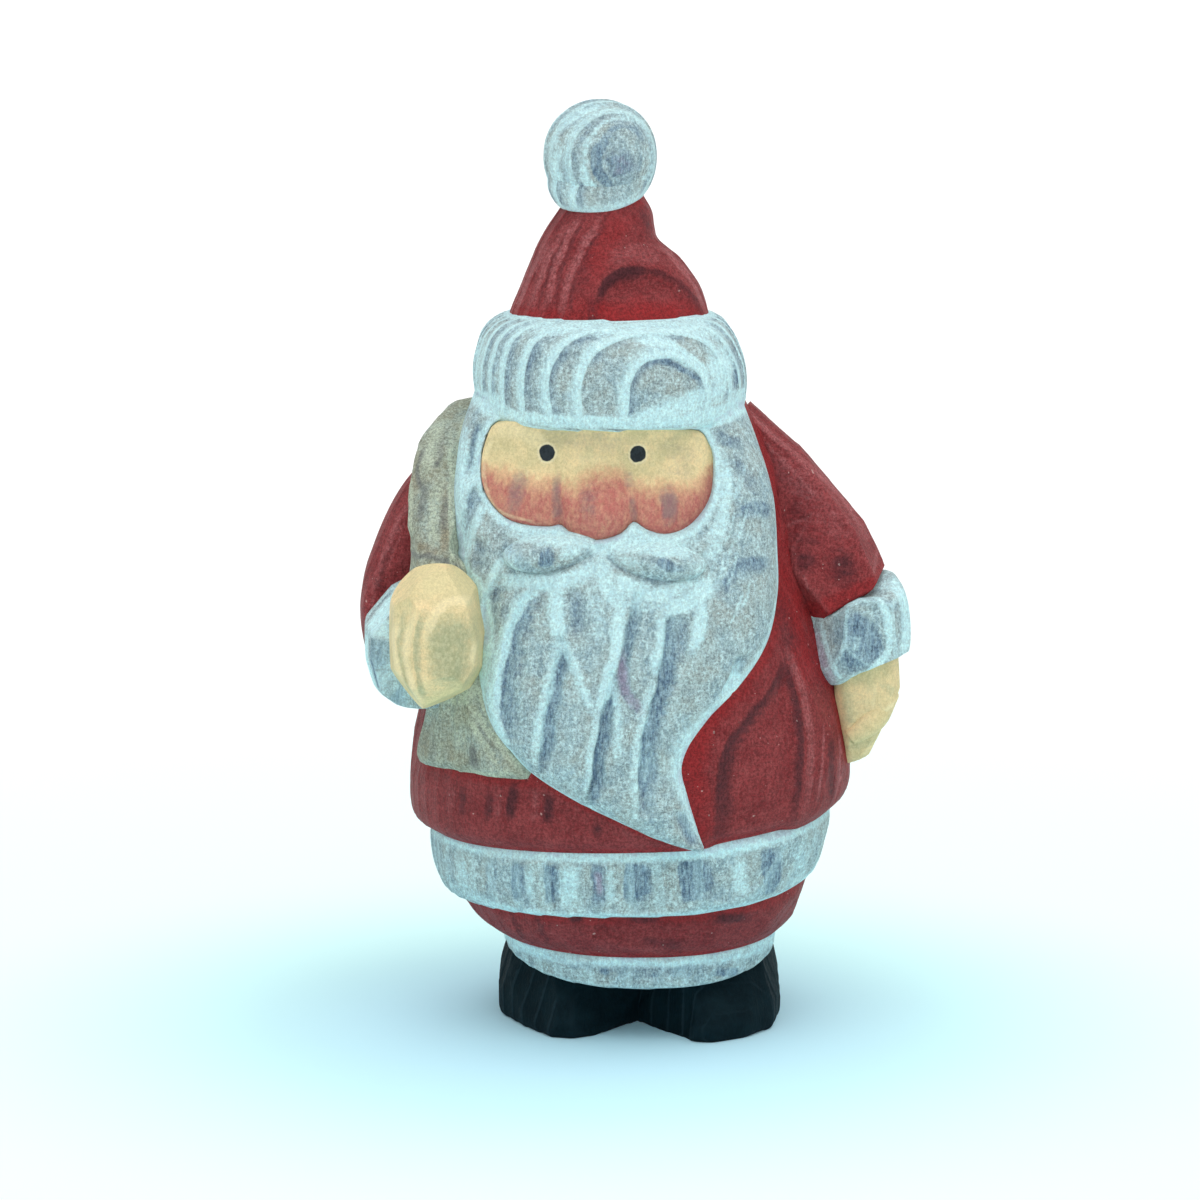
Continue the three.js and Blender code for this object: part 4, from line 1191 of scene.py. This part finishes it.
            (0.8, 0.9, [(-22.8, 66), (-22.6, 62), (-22.6, 58.4)]),
            (0.7, 1, [(-25.8, 59.2), (-23, 58.4)]),
            (0.6, 1, [(-26, 68.5), (-26.4, 64.5)]),
        ],
        "lip": [
            (0.7, 1.2, [(-23.4, 72), (-24.3, 70.4), (-25.2, 67)]),
            (0.6, 1, [(-23.2, 66.6), (-24.1, 62), (-23.8, 59.6)]),
            (0.7, 0.5, [(-26.8, 66), (-26.6, 60)]),
            (0.9, 0.5, [(-22, 71), (-22, 66), (-21.8, 61), (-21.6, 57)]),
        ],
    },
    "sack_fan": {
        "wash_and_shade": [
            (0.9, 0.8, [(-19.3, 36.6), (-19, 33.8)]),
            (0.5, 0.7, [(-24.1, 37), (-24.1, 33.4)]),
            (0.5, (0.6, 1.2, 0.5, 0.5), [(-18.6, 39.4), (-16.6, 36.6)]),
        ],
        "tint": [(0.6, 1.4, [(-25.4, 38.6), (-25.6, 33.4)]), (0.5, 1.2, [(-22.4, 39), (-22, 34)])],
        "lip": [
            (0.8, 0.7, [(-19.6, 41.5), (-17, 38), (-13.8, 34.5)]),
            (0.7, 0.6, [(-19.8, 40), (-18.2, 37.4), (-16.4, 34.6)]),
            (0.9, 0.6, [(-25.8, 32.4), (-23, 32.6), (-19.9, 33.1), (-14, 34.2)]),
            (0.5, 1.4, [(-20.6, 40), (-21, 36)]),
            (0.3, (3, 3, 2, 2), [(-23, 38), (-22.4, 35.4)]),
        ],
    },
    "resting_cuff": {
        "wash_and_shade": [
            (1, (2.2, 2.2, 2.6, 2.6), [(23.6, 48), (25.6, 49), (27.2, 47), (25.6, 45.4), (23.8, 45.6)]),
            (0.7, 0.9, [(26.6, 43.4), (27.6, 43.6)]),
            (0.6, 0.5, [(30.6, 52), (31.4, 47.6)]),
        ],
        "lip": [
            (1, 0.8, [(20.5, 49.6), (23, 51.4), (25.6, 52.6), (28.1, 53.4)]),
            (1, 0.7, [(27.6, 53), (29, 50.6), (29.4, 47.4), (28.6, 45.2), (26.6, 43.4), (24.4, 42.6)]),
            (0.4, 1, [(25.2, 48.4), (25.4, 46)]),
            (0.9, 1, [(29.6, 54), (31.2, 51.6), (31.6, 48), (31, 45.4)]),
            (0.8, 0.5, [(21.4, 49), (22.4, 45), (24, 42.4)]),
        ],
        "tint": [(1, 1, [(20.6, 48), (21.6, 44.5), (23.2, 40.2)])],
    },
    "palm": {
        "lip": [(0.8, 0.4, [(30.4, 40), (28.1, 38), (24.9, 36.2)]), (0.6, 0.3, [(27.9, 42), (27.5, 38.7)])],
        "wash_and_shade": [
            (0.5, 1.6, [(25, 34.5), (27.3, 35.7)]),
            (0.5, 1, [(24.4, 41), (25, 37)]),
            (0.5, 0.8, [(28.6, 42), (30, 41)]),
            (0.25, 2.2, [(26.4, 40.6), (26.8, 37.4)]),
        ],
    },
    "fur_band": {
        "wash_and_shade": [
            (0.5, (0.3, 1.8, 0.8, 0.8), [(-17.9, 22.4), (-17.8, 18)]),
            (1, (0.3, 2.2, 0.8, 0.8), [(-14.8, 22.8), (-14.6, 18.4)]),
            (1, (0.3, 2.2, 0.8, 0.8), [(-11, 23), (-10.8, 18.4)]),
            (1, (0.3, 2.2, 0.8, 0.8), [(-5.5, 23.2), (-5.3, 18.4)]),
            (1.5, (0.3, 3.6, 0.8, 0.8), [(-1.6, 23), (-1.5, 19)]),
            (1.8, (0.4, 4.8, 0.8, 0.8), [(4.7, 23.2), (5.2, 19)]),
            (1.3, (0.4, 2.8, 0.8, 0.8), [(14.5, 23.6), (14.9, 18.8)]),
        ],
        "lip": [
            (0.8, 1.2, [(-23.6, 23.2), (-16.3, 24.4), (-4.6, 24.6), (7, 24.3), (14, 24.9), (21.9, 26)]),
            (0.7, 1, [(-22, 17.6), (-14, 16.6), (-4, 16.6), (8, 16.8), (16, 17.4), (20, 18.4)]),
            (0.55, 1, [(-21, 22), (-20.8, 18)]),
            (0.55, 0.8, [(-12.9, 22.4), (-12.8, 18.4)]),
            (0.55, 0.9, [(-3.5, 22.6), (-3.4, 18.4)]),
            (0.5, 1.2, [(18.8, 23.4), (19, 19)]),
            (0.7, 1.6, [(-8, 23), (-8.2, 18)]),
            (0.7, 1.6, [(11.6, 23), (11.8, 19)]),
        ],
        "tint": [(0.8, 0.7, [(-4.9, 22), (-4.7, 19.6)])],
    },
    "skirt_cloth": {
        "wash_and_shade": [
            (0.5, (0.4, 1, 0.4, 0.4), [(-15.4, 15.8), (-13.5, 12)]),
            (0.5, (0.4, 1, 0.4, 0.4), [(-12.2, 16), (-10.7, 12)]),
            (0.85, 1.1, [(-7.3, 16.5), (-7.3, 15.6)]),
            (0.6, (1.4, 1.4, 0.8, 0.8), [(-1.5, 16), (2.4, 16)]),
            (0.5, 1.1, [(0.1, 13.2), (5.2, 12.6)]),
            (0.85, (1.4, 1.4, 1, 1), [(8.9, 16), (12.4, 15.4)]),
        ],
    },
    "hem_fur": {
        "wash_and_shade": [
            (0.7, 0.9, [(-4.6, 9.4), (-3.4, 8.8)]),
            (0.8, (0.5, 1.2, 0.8, 0.8), [(1.6, 9), (2.2, 8.4)]),
            (0.9, (1, 1.4, 0.8, 0.8), [(8.9, 8.6), (11.9, 8)]),
            (0.5, 1.6, [(-11, 11.6), (-8, 10.4), (-2, 9.8), (5, 9.6), (13, 11)]),
        ],
        "tint": [(0.8, 0.7, [(-12.6, 13.2), (-9, 12)]), (0.7, 0.7, [(9, 11.4), (13, 12.4)])],
    },
}


# The forms, as the block was cut.

boot_outlines = {
    "boot_left": [[-16.9, -3], [-14, -8.6], [-10.6, -13.2], [-7.8, -13.8], [-5, -12.4], [0.8, -5.6],
                  [0.8, 9], [-3, 12.4], [-9, 13.4], [-14.2, 11.6], [-16.9, 6]],
    "boot_right": [[-1.2, -5.2], [6, -15.2], [8.9, -15.4], [12.9, -13.2], [16.2, -9.3], [17.3, -3],
                   [17.3, 6], [14.4, 11.6], [9, 13.4], [3, 12.4], [-1.2, 9]],
}
boot_blocks = {name: Block(outline, top=10) for name, outline in boot_outlines.items()}
hem = Rings([
    [10, -15.8, 16.3, -15.9, 0, 12.8],
    [10.5, -16.4, 16.8, -16.6, 0, 13.4],
    [13.4, -16.7, 17.1, -17, 0, 14],
    [14.6, -15.6, 16, -16, 0, 13],
], rise=lambda x, y, z: 0.2 * y - 0.01 * x)
skirt = Rings([
    [10.6, -16, 16.4, -16.3, 0, 13.6],
    [12.6, -19.2, 18.6, -18, 0, 15.2],
    [15, -21.2, 20.2, -19, 0, 16.2],
    [19, -22, 21, -19.4, 0, 16.6],
])


def hip_line(x, y, z):
    """The band and the coat's edge ride up over the hip on the right, and the coat above it less and less."""
    return (0.02 * x + 0.0042 * np.maximum(x - 3, 0) ** 2) * (1 - smoothstep(z, 27, 37))


band = Rings([
    [16.5, -22.4, 20.7, -19.8, 0, 16.4],
    [17.1, -23.6, 21.6, -20.7, 0, 17],
    [20, -24.8, 22.8, -21, 0, 17.6],
    [22.8, -25.1, 23.3, -21.1, 0, 17.8],
    [24.2, -24.7, 23.1, -20.9, 0, 17.6],
    [25.8, -23.4, 22, -20, 0, 16.6],
], rise=hip_line)
coat = Rings([
    [24.3, -25, 23.5, -20.6, 0, 17.4],
    [25.6, -27, 25.1, -21.7, 0, 18.5],
    [29, -27.5, 25.6, -22.3, 0, 19],
    [33, -27.3, 25.6, -22.5, 0, 19.1],
    [38, -26.4, 24.8, -22.2, 0, 18.9],
    [45, -24.8, 22.8, -20.9, 0, 18.4],
    [52, -23, 20.6, -19.3, 0, 17.8],
    [58, -21.8, 19.4, -17.8, 0, 17],
    [63, -20.4, 18, -16.2, 0, 16],
    [67, -18.8, 16.6, -14.6, 0, 14.8],
    [71, -16.6, 14.5, -12.8, 0, 13],
    [76, -13.8, 12, -10.8, 0, 11],
], square=2.25, rise=hip_line)
arm = 6.9
holding_sleeve = Limb([
    [0, -15, 2, 67.5, arm * 0.9, arm * 0.9],
    [0.3, -22, 1.5, 61, arm, arm],
    [0.6, -25.8, 1, 53, arm, arm],
    [0.78, -26.2, -2.5, 48.6, arm, arm],
    [1, -25.2, -9.5, 47.8, arm * 0.84, arm * 0.94],
])
holding_cuff = Limb([
    [0, -25.2, -7.6, 47.8, arm + 0.2, arm + 1],
    [0.5, -24.9, -11.6, 47.9, arm + 0.3, arm + 1.3],
    [1, -24.6, -15.6, 48, arm - 0.3, arm + 0.6],
], square=2.6)
fist = Lump([-23.3, -19.2, 49.5], [5.7, 5.2, 8.5], square=2.6)
resting_sleeve = Limb([
    [0, 9.2, 2, 69.8, arm * 0.9, arm * 0.95],
    [0.35, 16.4, 1, 63, arm, arm],
    [0.7, 21.7, -1.5, 55.3, arm, arm],
    [1, 25.2, -4, 49.8, arm * 0.85, arm * 0.85],
])
resting_cuff = Limb([
    [0, 24.9, -5, 52.2, arm * 0.8, arm * 0.82],
    [0.25, 25.7, -4.8, 50.2, arm * 0.9, arm * 0.93],
    [0.75, 26.2, -4.2, 45.2, arm * 0.86, arm * 0.9],
    [1, 26.7, -3.8, 43.3, arm * 0.68, arm * 0.74],
], square=3)
palm = Rings([
    [31.3, 24.5, 26, -6.4, -5.2, -4],
    [33.4, 23.6, 28, -8.2, -4.5, -1],
    [37.5, 22.8, 30.8, -9.2, -4, 0.4],
    [41, 22.4, 31.4, -9.2, -4, 0.8],
    [46.5, 22.8, 31, -8.6, -4, 0.6],
], square=2.6)
thumb = Limb([[0, 29.4, -5.5, 40.4, 1.6, 1.6], [0.5, 27.6, -8, 37.6, 1.6, 1.5], [1, 24.9, -8.2, 35.4, 1, 1]])
sack_bag = Rings([
    [29, -14, -3, 14, 16, 18.5],
    [31, -19, 3, 8, 14, 22.4],
    [37, -22.5, 6, 6, 13, 25],
    [46, -22.8, 6, 5, 12, 25.4],
    [55, -21.8, 3.6, 4, 11, 24],
    [62, -20.4, -1, 3, 10, 20.6],
    [68, -19.4, -7, 2, 9, 16.6],
    [72, -17.6, -10, 2, 8, 13],
], square=2.2)
sack_neck = Limb([
    [0, -12.6, 12.5, 60, 9, 6.4],
    [0.22, -15.4, 10, 67, 7, 5.2],
    [0.42, -18.4, 3.6, 70.4, 5.6, 4.2],
    [0.62, -22.4, -4, 67.2, 4.3, 3.8],
    [0.83, -23.6, -10.2, 60, 3.5, 3.4],
    [1, -22.8, -15.4, 52, 4, 3.4],
])


def pleats(points, facing):
    """The gathered mouth of the sack: the size of a sine whose uneven waves fan out below the fist."""
    gathered_at, fan_height, pleat_width, pleat_depth = 48, 14, 4.1, 0.5
    spread = (gathered_at - points[..., 2]) / fan_height
    across = (points[..., 0] + 0.5) / spread
    wave = np.sin(np.pi * (across + 0.9 * np.sin(0.8 * across)) / pleat_width)
    return pleat_depth * facing * np.abs(wave)


sack_fan = Rings([
    [33.2, -8.3, 7.9, -2.4, 0, 3.4],
    [34.2, -8.4, 8.2, -3.1, 0, 3.4],
    [37, -7.6, 6.2, -3.1, 0, 3.4],
    [41, -6.4, 3.6, -3.1, 0, 3.4],
    [46, -5, 1.6, -3, 0, 3.4],
], square=2.8, carve=pleats, turn=(-38, (-19, -15.4)))


def face_recess(points, facing):
    """The face is let in: full depth half a millimetre inside its outline, and none outside it. The hair dips
    towards it all round, by a bell two millimetres wide."""
    recess, dip, dip_width = 3.6, 0.7, 2
    border = from_outline(points, face_outline)
    let_in = recess * (1 - smoothstep(border, -0.5, 0.15))
    dipped = dip * np.exp(-((np.maximum(border, 0) / dip_width) ** 2))
    return (let_in + dipped) * smoothstep(facing, 0.2, 0.6)


def beard_cuts(points):
    """The gouge cuts and the creases under the moustache, and the ridges that stand between the cuts."""
    gouge_depth, crease_depth, ridge_height = 0.7, 0.5, 0.25
    cuts = gouge_depth * strokes_at(points, gouges) + crease_depth * strokes_at(points, creases)
    return ridge_height * strokes_at(points, ridges) - cuts


beard = Rings([
    [25.1, 6, 7.4, -22.8, -21.4, -16],
    [26.3, 2.2, 7, -23.6, -21.4, -14],
    [28.5, -2.6, 6.3, -24.2, -21.2, -12],
    [31, -7.8, 5.7, -24.5, -20.6, -10],
    [34, -12.7, 5.6, -24.5, -19.4, -8],
    [36.5, -15.2, 6.5, -24.4, -18.4, -8],
    [40, -17.6, 9, -24.1, -16.8, -8],
    [43.5, -18.8, 12.2, -23.6, -15, -6],
    [48, -19.6, 14.9, -22.8, -13, -4],
    [53.5, -20.6, 16.1, -21.6, -11, -3],
    [58, -21.4, 16.1, -20.4, -9.6, -2],
    [64, -21.7, 15.7, -18.8, -8.6, 2],
    [68, -21.4, 14.7, -17.8, -7.6, 4],
    [72, -20.8, 13.3, -16.8, -6, 6],
    [76, -19.4, 11.8, -15.4, -4, 6],
], square=2.5, carve=face_recess)


def hair_locks(points, facing):
    """Upright locks on the back of the head: the size of a sine of the angle about the head."""
    lock_depth, lock_angle = 0.54, 0.42
    angle = np.arctan2(points[..., 1] - 2, points[..., 0] + 2.4)
    behind = smoothstep(np.sin(angle), 0.1, 0.5)
    return -lock_depth * behind * np.abs(np.sin(angle / lock_angle))


back_hair = Rings([
    [62, -15.4, 12.6, -4, 2, 15],
    [63.4, -16.6, 14.4, -6, 2, 17.4],
    [67, -17.2, 14.2, -7, 2, 16.8],
    [71, -17.4, 12.9, -8, 2, 15.2],
    [76, -17.6, 11.4, -10, 2, 13.4],
], carve=hair_locks)


def face_front(x, z):
    """How far forward the face stands: it falls back to the sides with the square of the way across and leans
    forward below the eyes, and two cheeks and a nose are added as bells with a crease on both sides of it."""
    front = -16.2 + 0.011 * (x + 5) ** 2 - 0.2 * np.maximum(0, 68.5 - z)
    cheeks = [(-13.4, 65, 4.3, 3.4, 0.8), (4.2, 64.6, 4.3, 3.4, 0.8)]
    nose = (-4.6, 64.4, 3.7, 3.6, 2)
    for cx, cz, wide, tall, high in [*cheeks, nose]:
        front = front - high * np.exp(-(((x - cx) / wide) ** 2) - ((z - cz) / tall) ** 2)
    crease_width, crease_depth = 0.55, 0.5
    for (ax, az), (bx, bz) in (((-9.5, 66.6), (-9.2, 62.2)), ((-0.9, 65.4), (-0.5, 61.8))):
        across = (x - ax - (z - az) / (bz - az) * (bx - ax)) / crease_width
        front = front + crease_depth * np.exp(-(across**2)) * smoothstep(z, az, az - 1.6)
    return front


face = Pebble(face_outline, (-4.9, 67.4), face_front, -9)
moustache = {
    "moustache_left": Lump([-10.1, -18.2, 59.3], [5.7, 2.7, 2.1], turned=(20, -6, 10)),
    "moustache_right": Lump([1.6, -18.6, 58.4], [6, 2.7, 2.2], turned=(20, 6, -8)),
}
brim = Rings([
    [73, -17.4, 11.1, -17.4, -1, 12.2],
    [73.5, -18.7, 12.1, -18.6, -1, 13],
    [76, -19.4, 12.7, -18.9, -1, 13.6],
    [79, -19.6, 12.6, -18.8, -1, 13.8],
    [81.5, -19.1, 11.8, -18.3, -1, 13.4],
    [83.2, -18.4, 10.9, -17.5, -1, 12.8],
    [84.6, -16.9, 9.6, -15.8, -1, 11.6],
    [85.4, -14.6, 7.6, -13.4, -1, 10],
], square=2.35)
cap = Rings([
    [83, -15.8, 8.5, -13.8, -1, 10.6],
    [85.6, -15.1, 8.1, -12.8, -1, 10],
    [88.2, -14, 7.2, -11.8, -1, 9.2],
    [90.2, -13.2, 5.9, -10.8, -1, 8.4],
    [91.6, -12.6, 4.8, -10, -1, 7.8],
    [92.6, -12.2, 3.5, -9.4, -1, 7.4],
    [93.8, -11.6, 2.2, -8.7, -1, 6.9],
    [95.2, -10.8, 1.8, -8, -1, 6.2],
    [97, -9.6, 1.5, -7, -1, 5.2],
    [99, -8.4, 0.4, -5.8, -1, 4],
], square=2.2)
bobble = Lump([-4.6, -1, 103.35], [6.7, 6.7, 6.7], square=2.1)
bobble_root = Rings([
    [97, -8.6, -0.6, -6.6, -1, 3.4],
    [97.8, -9.7, 0.4, -7.2, -1, 4.2],
    [99.5, -10.7, 1.3, -7.1, -1, 4.8],
    [101.5, -10.8, 1.6, -6.4, -1, 4.8],
], rise=lambda x, y, z: 0.03 * np.maximum(x + 5, 0) ** 2)


def cap_cuts(points):
    """The scoop in the cap's fold: it drops within a millimetre of its arched border, and runs out to nothing
    at the fur."""
    scoop_depth = 1.2
    inside = smoothstep(-from_outline(points, scoop_outline), -0.1, 1.3)
    return -scoop_depth * inside * smoothstep(points[..., 2], 83.5, 89) * (points[..., 1] < -3)


def coat_cuts(points):
    """One long flat cut up the right of the coat's front, pointed at the top."""
    hollow_depth = 0.6
    inside = smoothstep(-from_outline(points, coat_hollow), -0.3, 2)
    return -hollow_depth * inside * (points[..., 1] < -6)


# The knife flats that were cut on purpose.


def cut_flats(far, cuts):
    """Flats that all reach as far, from their places and the ways they face."""
    return [(place, facing, far) for place, facing in cuts]


fist_flats = cut_flats(16, [
    ((-20.9, -19, 56.6), (0.7, -0.25, 0.67)),
    ((-18.5, -19, 51.8), (0.96, -0.2, 0.2)),
    ((-18.2, -19, 47.5), (1, -0.2, -0.05)),
    ((-19, -19, 44.8), (0.84, -0.25, -0.48)),
    ((-21.9, -19, 42.5), (0.41, -0.25, -0.88)),
    ((-26.8, -19, 43.4), (-0.78, -0.25, -0.58)),
    ((-28.6, -19, 49.5), (-1, -0.2, 0)),
    ((-26.9, -19, 55.7), (-0.68, -0.25, 0.7)),
    ((-23.8, -19, 57.5), (-0.28, -0.25, 0.93)),
    ((-23.3, -24, 49.5), (0.08, -1, 0.02)),
    ((-27, -22.4, 49.5), (-0.62, -0.78, 0)),
    ((-19.6, -22.7, 49), (0.66, -0.75, -0.05)),
    ((-22.4, -22.8, 54.4), (0.1, -0.75, 0.65)),
    ((-22, -22.9, 44.4), (0.15, -0.78, -0.6)),
])
holding_sleeve_flats = [
    ((-28.7, 0, 63.7), (-0.72, -0.1, 0.69), 8),
    ((-28.6, -9, 51.4), (-0.74, -0.2, 0.66), 6),
    ((-25.6, -9, 54), (-0.42, -0.2, 0.88), 5),
]
resting_sleeve_flats = whittled(resting_sleeve, 6, 3, 0.7, shift=0) + [
    ((15.6, 2, 72), (0.67, 0, 0.74), 6),
    ((21.2, 1, 66.6), (0.75, 0, 0.66), 11),
    ((28.8, -4, 54.6), (0.85, -0.1, -0.52), 6),
]
holding_cuff_flats = cut_flats(14, [
    ((-26, -11, 54.4), (-0.42, -0.2, 0.88)),
    ((-29.8, -11, 51.9), (-0.74, -0.2, 0.66)),
    ((-32.1, -11, 47), (-1, -0.2, 0)),
    ((-31.7, -11, 44.1), (-0.95, -0.25, -0.27)),
    ((-29.4, -11, 40.4), (-0.55, -0.25, -0.8)),
])
resting_cuff_flats = cut_flats(9, [
    ((25.4, -10.6, 47.4), (0.22, -1, 0.05)),
    ((30.6, -8.6, 48.6), (0.85, -0.6, 0.1)),
    ((26.6, -8.6, 53.2), (0.3, -0.6, 0.9)),
    ((21.2, -8.4, 45.6), (-0.75, -0.75, 0.1)),
    ((28.4, -8.6, 43), (0.3, -0.7, -0.8)),
    ((30.5, -5, 44.8), (0.38, -0.1, -0.93)),
])
palm_flats = whittled(palm, 8, 2, 0.4) + [
    ((30.8, -4, 43), (1, 0, 0.05), 6),
    ((29.1, -4, 37.1), (0.917, 0, -0.4), 8),
    ((26, -5, 32.5), (0.4, 0, -0.92), 6),
]


# Where a piece's front is its painted side, most columns of the grid go there: these are the shares of the
# way round at equal numbers of columns.
mostly_front = [0, 0.12, 0.25, 0.35, 0.45, 0.55, 0.65, 0.75, 0.88, 1]
nearly_all_front = [0, 0.2, 0.3, 0.38, 0.46, 0.54, 0.62, 0.7, 0.8, 1]

for number, (name, block) in enumerate(boot_blocks.items()):
    add_piece(name, block, "boot_paint", (180, 36), flats=whittled(block, 9, 1, 0.35, 2.0 * number),
              calm=(0.2, 0.4), depth=0.16)
add_piece("hem_fur", hem, "whitewash", (320, 22), mostly_front, flats=whittled(hem, 20, 1, 0.3), grown=0.35,
          worn=0.5, beside=[skirt], depth=0.14)
add_piece("skirt_cloth", skirt, "red_paint", (340, 28), mostly_front, flats=whittled(skirt, 15, 1, 0.5, 1.0),
          grown=0.2, worn=0.6, calm=(0.2, 0.4), beside=[hem, band], depth=0.1)
add_piece("fur_band", band, "whitewash", (420, 40), mostly_front, flats=whittled(band, 24, 1, 0.25, 2.0),
          grown=0.3, worn=0.35, beside=[coat, skirt], depth=0.2)
add_piece("coat_body", coat, "red_paint", (440, 110), mostly_front, flats=whittled(coat, 17, 3, 0.28, 0.5),
          grown=0.2, worn=0.4, calm=(0.2, 0.4), cut=coat_cuts, depth=0.1,
          beside=[band, beard, sack_fan, resting_cuff, palm])
add_piece("holding_sleeve", holding_sleeve, "red_paint", (110, 90), flats=holding_sleeve_flats,
          grown=0.3, worn=0.5, calm=(0.2, 0.4), beside=[holding_cuff, sack_neck], depth=0.1)
add_piece("holding_cuff", holding_cuff, "whitewash", (140, 40), flats=holding_cuff_flats, grown=0.4,
          worn=0.6, beside=[fist], depth=0.16)
add_piece("fist", fist, "skin_paint", (180, 120), flats=fist_flats, grown=0.3, round_ends=True, depth=0.03)
add_piece("resting_sleeve", resting_sleeve, "red_paint", (140, 110), flats=resting_sleeve_flats,
          grown=0.1, worn=0.5, calm=(0.2, 0.4), beside=[resting_cuff, beard], depth=0.06)
add_piece("resting_cuff", resting_cuff, "whitewash", (150, 60), flats=resting_cuff_flats, grown=0.15,
          depth=0.08)
add_piece("palm", palm, "skin_paint", (110, 60), flats=palm_flats, grown=0.2, depth=0.03)
add_piece("thumb", thumb, "skin_paint", (40, 40), grown=0.0, depth=0.0)
add_piece("sack_bag", sack_bag, "sack_paint", (160, 100), flats=whittled(sack_bag, 14, 5, 0.35, 3.0),
          grown=0.35, worn=0.6, beside=[coat, holding_sleeve], depth=0.16)
add_piece("sack_neck", sack_neck, "sack_paint", (110, 130), flats=whittled(sack_neck, 7, 7, 0.4, 4.0),
          grown=0.2, worn=0.5, beside=[beard, fist], depth=0.1)
add_piece("sack_fan", sack_fan, "sack_paint", (180, 60), nearly_all_front, grown=0.15, worn=0.5, depth=0.08,
          beside=[fist, coat, beard])
add_piece("beard_apron", beard, "whitewash", (420, 200), nearly_all_front, grown=0.14, worn=0.5,
          beside=[coat, resting_sleeve, sack_neck, fist, sack_fan, brim, face], cut=beard_cuts, depth=0.08)
add_piece("back_hair", back_hair, "whitewash", (220, 40), grown=0.5, beside=[coat, brim])
add_piece("face_board", face, "skin_paint", (240, 120), grown=0.1, depth=0.05)
for name, lump in moustache.items():
    add_piece(name, lump, "whitewash", (110, 70), grown=0.1, round_ends=True, depth=0.08)
add_piece("brim", brim, "whitewash", (460, 64), mostly_front, beside=[cap, beard], depth=0.3)
add_piece("cap_cone", cap, "red_paint", (320, 90), mostly_front, grown=0.5, calm=(0.25, 0.42), cut=cap_cuts,
          depth=0.16, beside=[brim, bobble])
add_piece("bobble_ball", bobble, "whitewash", (220, 110), grown=0.75, round_ends=True, beside=[cap],
          depth=0.26)
add_piece("bobble_root", bobble_root, "whitewash", (120, 24), beside=[cap], depth=0.1)


# The table, the light and the camera.


def make_table():
    """A pale round table top: rings of points whose distance grows by the same factor each time, and whose
    height beyond the flat part is an eighth of the way past it. Its paint is a cool white with a painted
    shadow round the figure, bluer close to it, where a faint painted glow lightens that shade."""
    columns, rows = 96, 40
    nearest, farthest, flat_until, rim_slope = 20, 20000, 2000, 8
    distance = nearest * (farthest / nearest) ** np.linspace(0, 1, rows)
    angle = np.linspace(0, 2 * np.pi, columns, endpoint=False)
    x = distance[:, None] * np.cos(angle)
    y = distance[:, None] * np.sin(angle)
    z = np.maximum(0, distance - flat_until)[:, None] / rim_slope + 0 * x
    points = np.stack([x, y, z], -1).reshape(-1, 3) * mm
    grid = np.arange(rows * columns).reshape(rows, columns)
    around = np.roll(grid, -1, 1)
    quads = np.stack([grid[:-1], grid[1:], around[1:], around[:-1]], -1).reshape(-1, 4)
    mesh = bpy.data.meshes.new("table_top")
    mesh.from_pydata(points.tolist(), [], quads.tolist() + [grid[0].tolist()])
    material, p = start_material("table_white")
    where = p.node("ShaderNodeSeparateXYZ", Vector=p.place((0.85, 1, 1))).outputs
    from_x, from_y = p.plus(where["X"], 4.0), p.plus(where["Y"], 7.0)
    level = p.node("ShaderNodeCombineXYZ", X=from_x, Y=from_y, Z=0.0).outputs[0]
    away = p.node("ShaderNodeVectorMath", {"operation": "LENGTH"}, _0=level).outputs["Value"]
    # Painted shadow: less red close to the figure, fading out by 420 millimetres, and less green nearer
    # still, for the cyan shade round it.
    red = p.plus(p.step(away, 12.0, 80.0, 0.57, 0.82), p.step(away, 60.0, 420.0, 0.0, 0.2))
    green = p.step(away, 16.0, 50.0, 0.88, 1.0)
    colour = p.node("ShaderNodeCombineColor", Red=red, Green=green, Blue=1.0).outputs[0]
    # Painted light: a faint glow close to the figure lightens the shade on the table there.
    painted_glow = p.mix(p.step(away, 18.0, 36.0, 0.08, 0.0), (0, 0, 0, 1), colour)
    finish_surface(p, 0.1, Base_Color=colour, Roughness=0.9, Emission_Color=painted_glow, Emission_Strength=1.0)
    mesh.materials.append(material)
    table = bpy.data.objects.new("table_top", mesh)
    bpy.context.scene.collection.objects.link(table)


def make_light():
    """A white room, and daylight from a wide soft sheet overhead, a little to the front."""
    world = bpy.data.worlds.new("white room")
    world.use_nodes = True
    background = world.node_tree.nodes["Background"]
    background.inputs["Color"].default_value = (0.97, 1.0, 1.0, 1)
    background.inputs["Strength"].default_value = 0.48
    bpy.context.scene.world = world
    lamp = bpy.data.lights.new("window", "SUN")
    lamp.energy, lamp.angle = 2.25, math.radians(80)
    window = bpy.data.objects.new("window", lamp)
    window.rotation_mode = "QUATERNION"
    window.rotation_quaternion = Vector((-0.05, 0.14, -1)).to_track_quat("-Z", "Y")
    bpy.context.scene.collection.objects.link(window)


def make_camera():
    """The camera looks down by the elevation at the target from that distance."""
    target, distance, elevation = np.array([-4.6, 0, 50.479]), 450.0, math.radians(10)
    data = bpy.data.cameras.new("camera")
    data.lens, data.sensor_width = 112.787, 36.0
    data.clip_start, data.clip_end = 0.01, 30.0
    camera = bpy.data.objects.new("camera", data)
    back = np.array([0, -math.cos(elevation), math.sin(elevation)])
    camera.location = (target + distance * back) * mm
    camera.rotation_euler = (math.pi / 2 - elevation, 0, 0)
    bpy.context.scene.collection.objects.link(camera)
    bpy.context.scene.camera = camera


make_table()
make_light()
make_camera()
bpy.context.scene.view_settings.view_transform = "Standard"
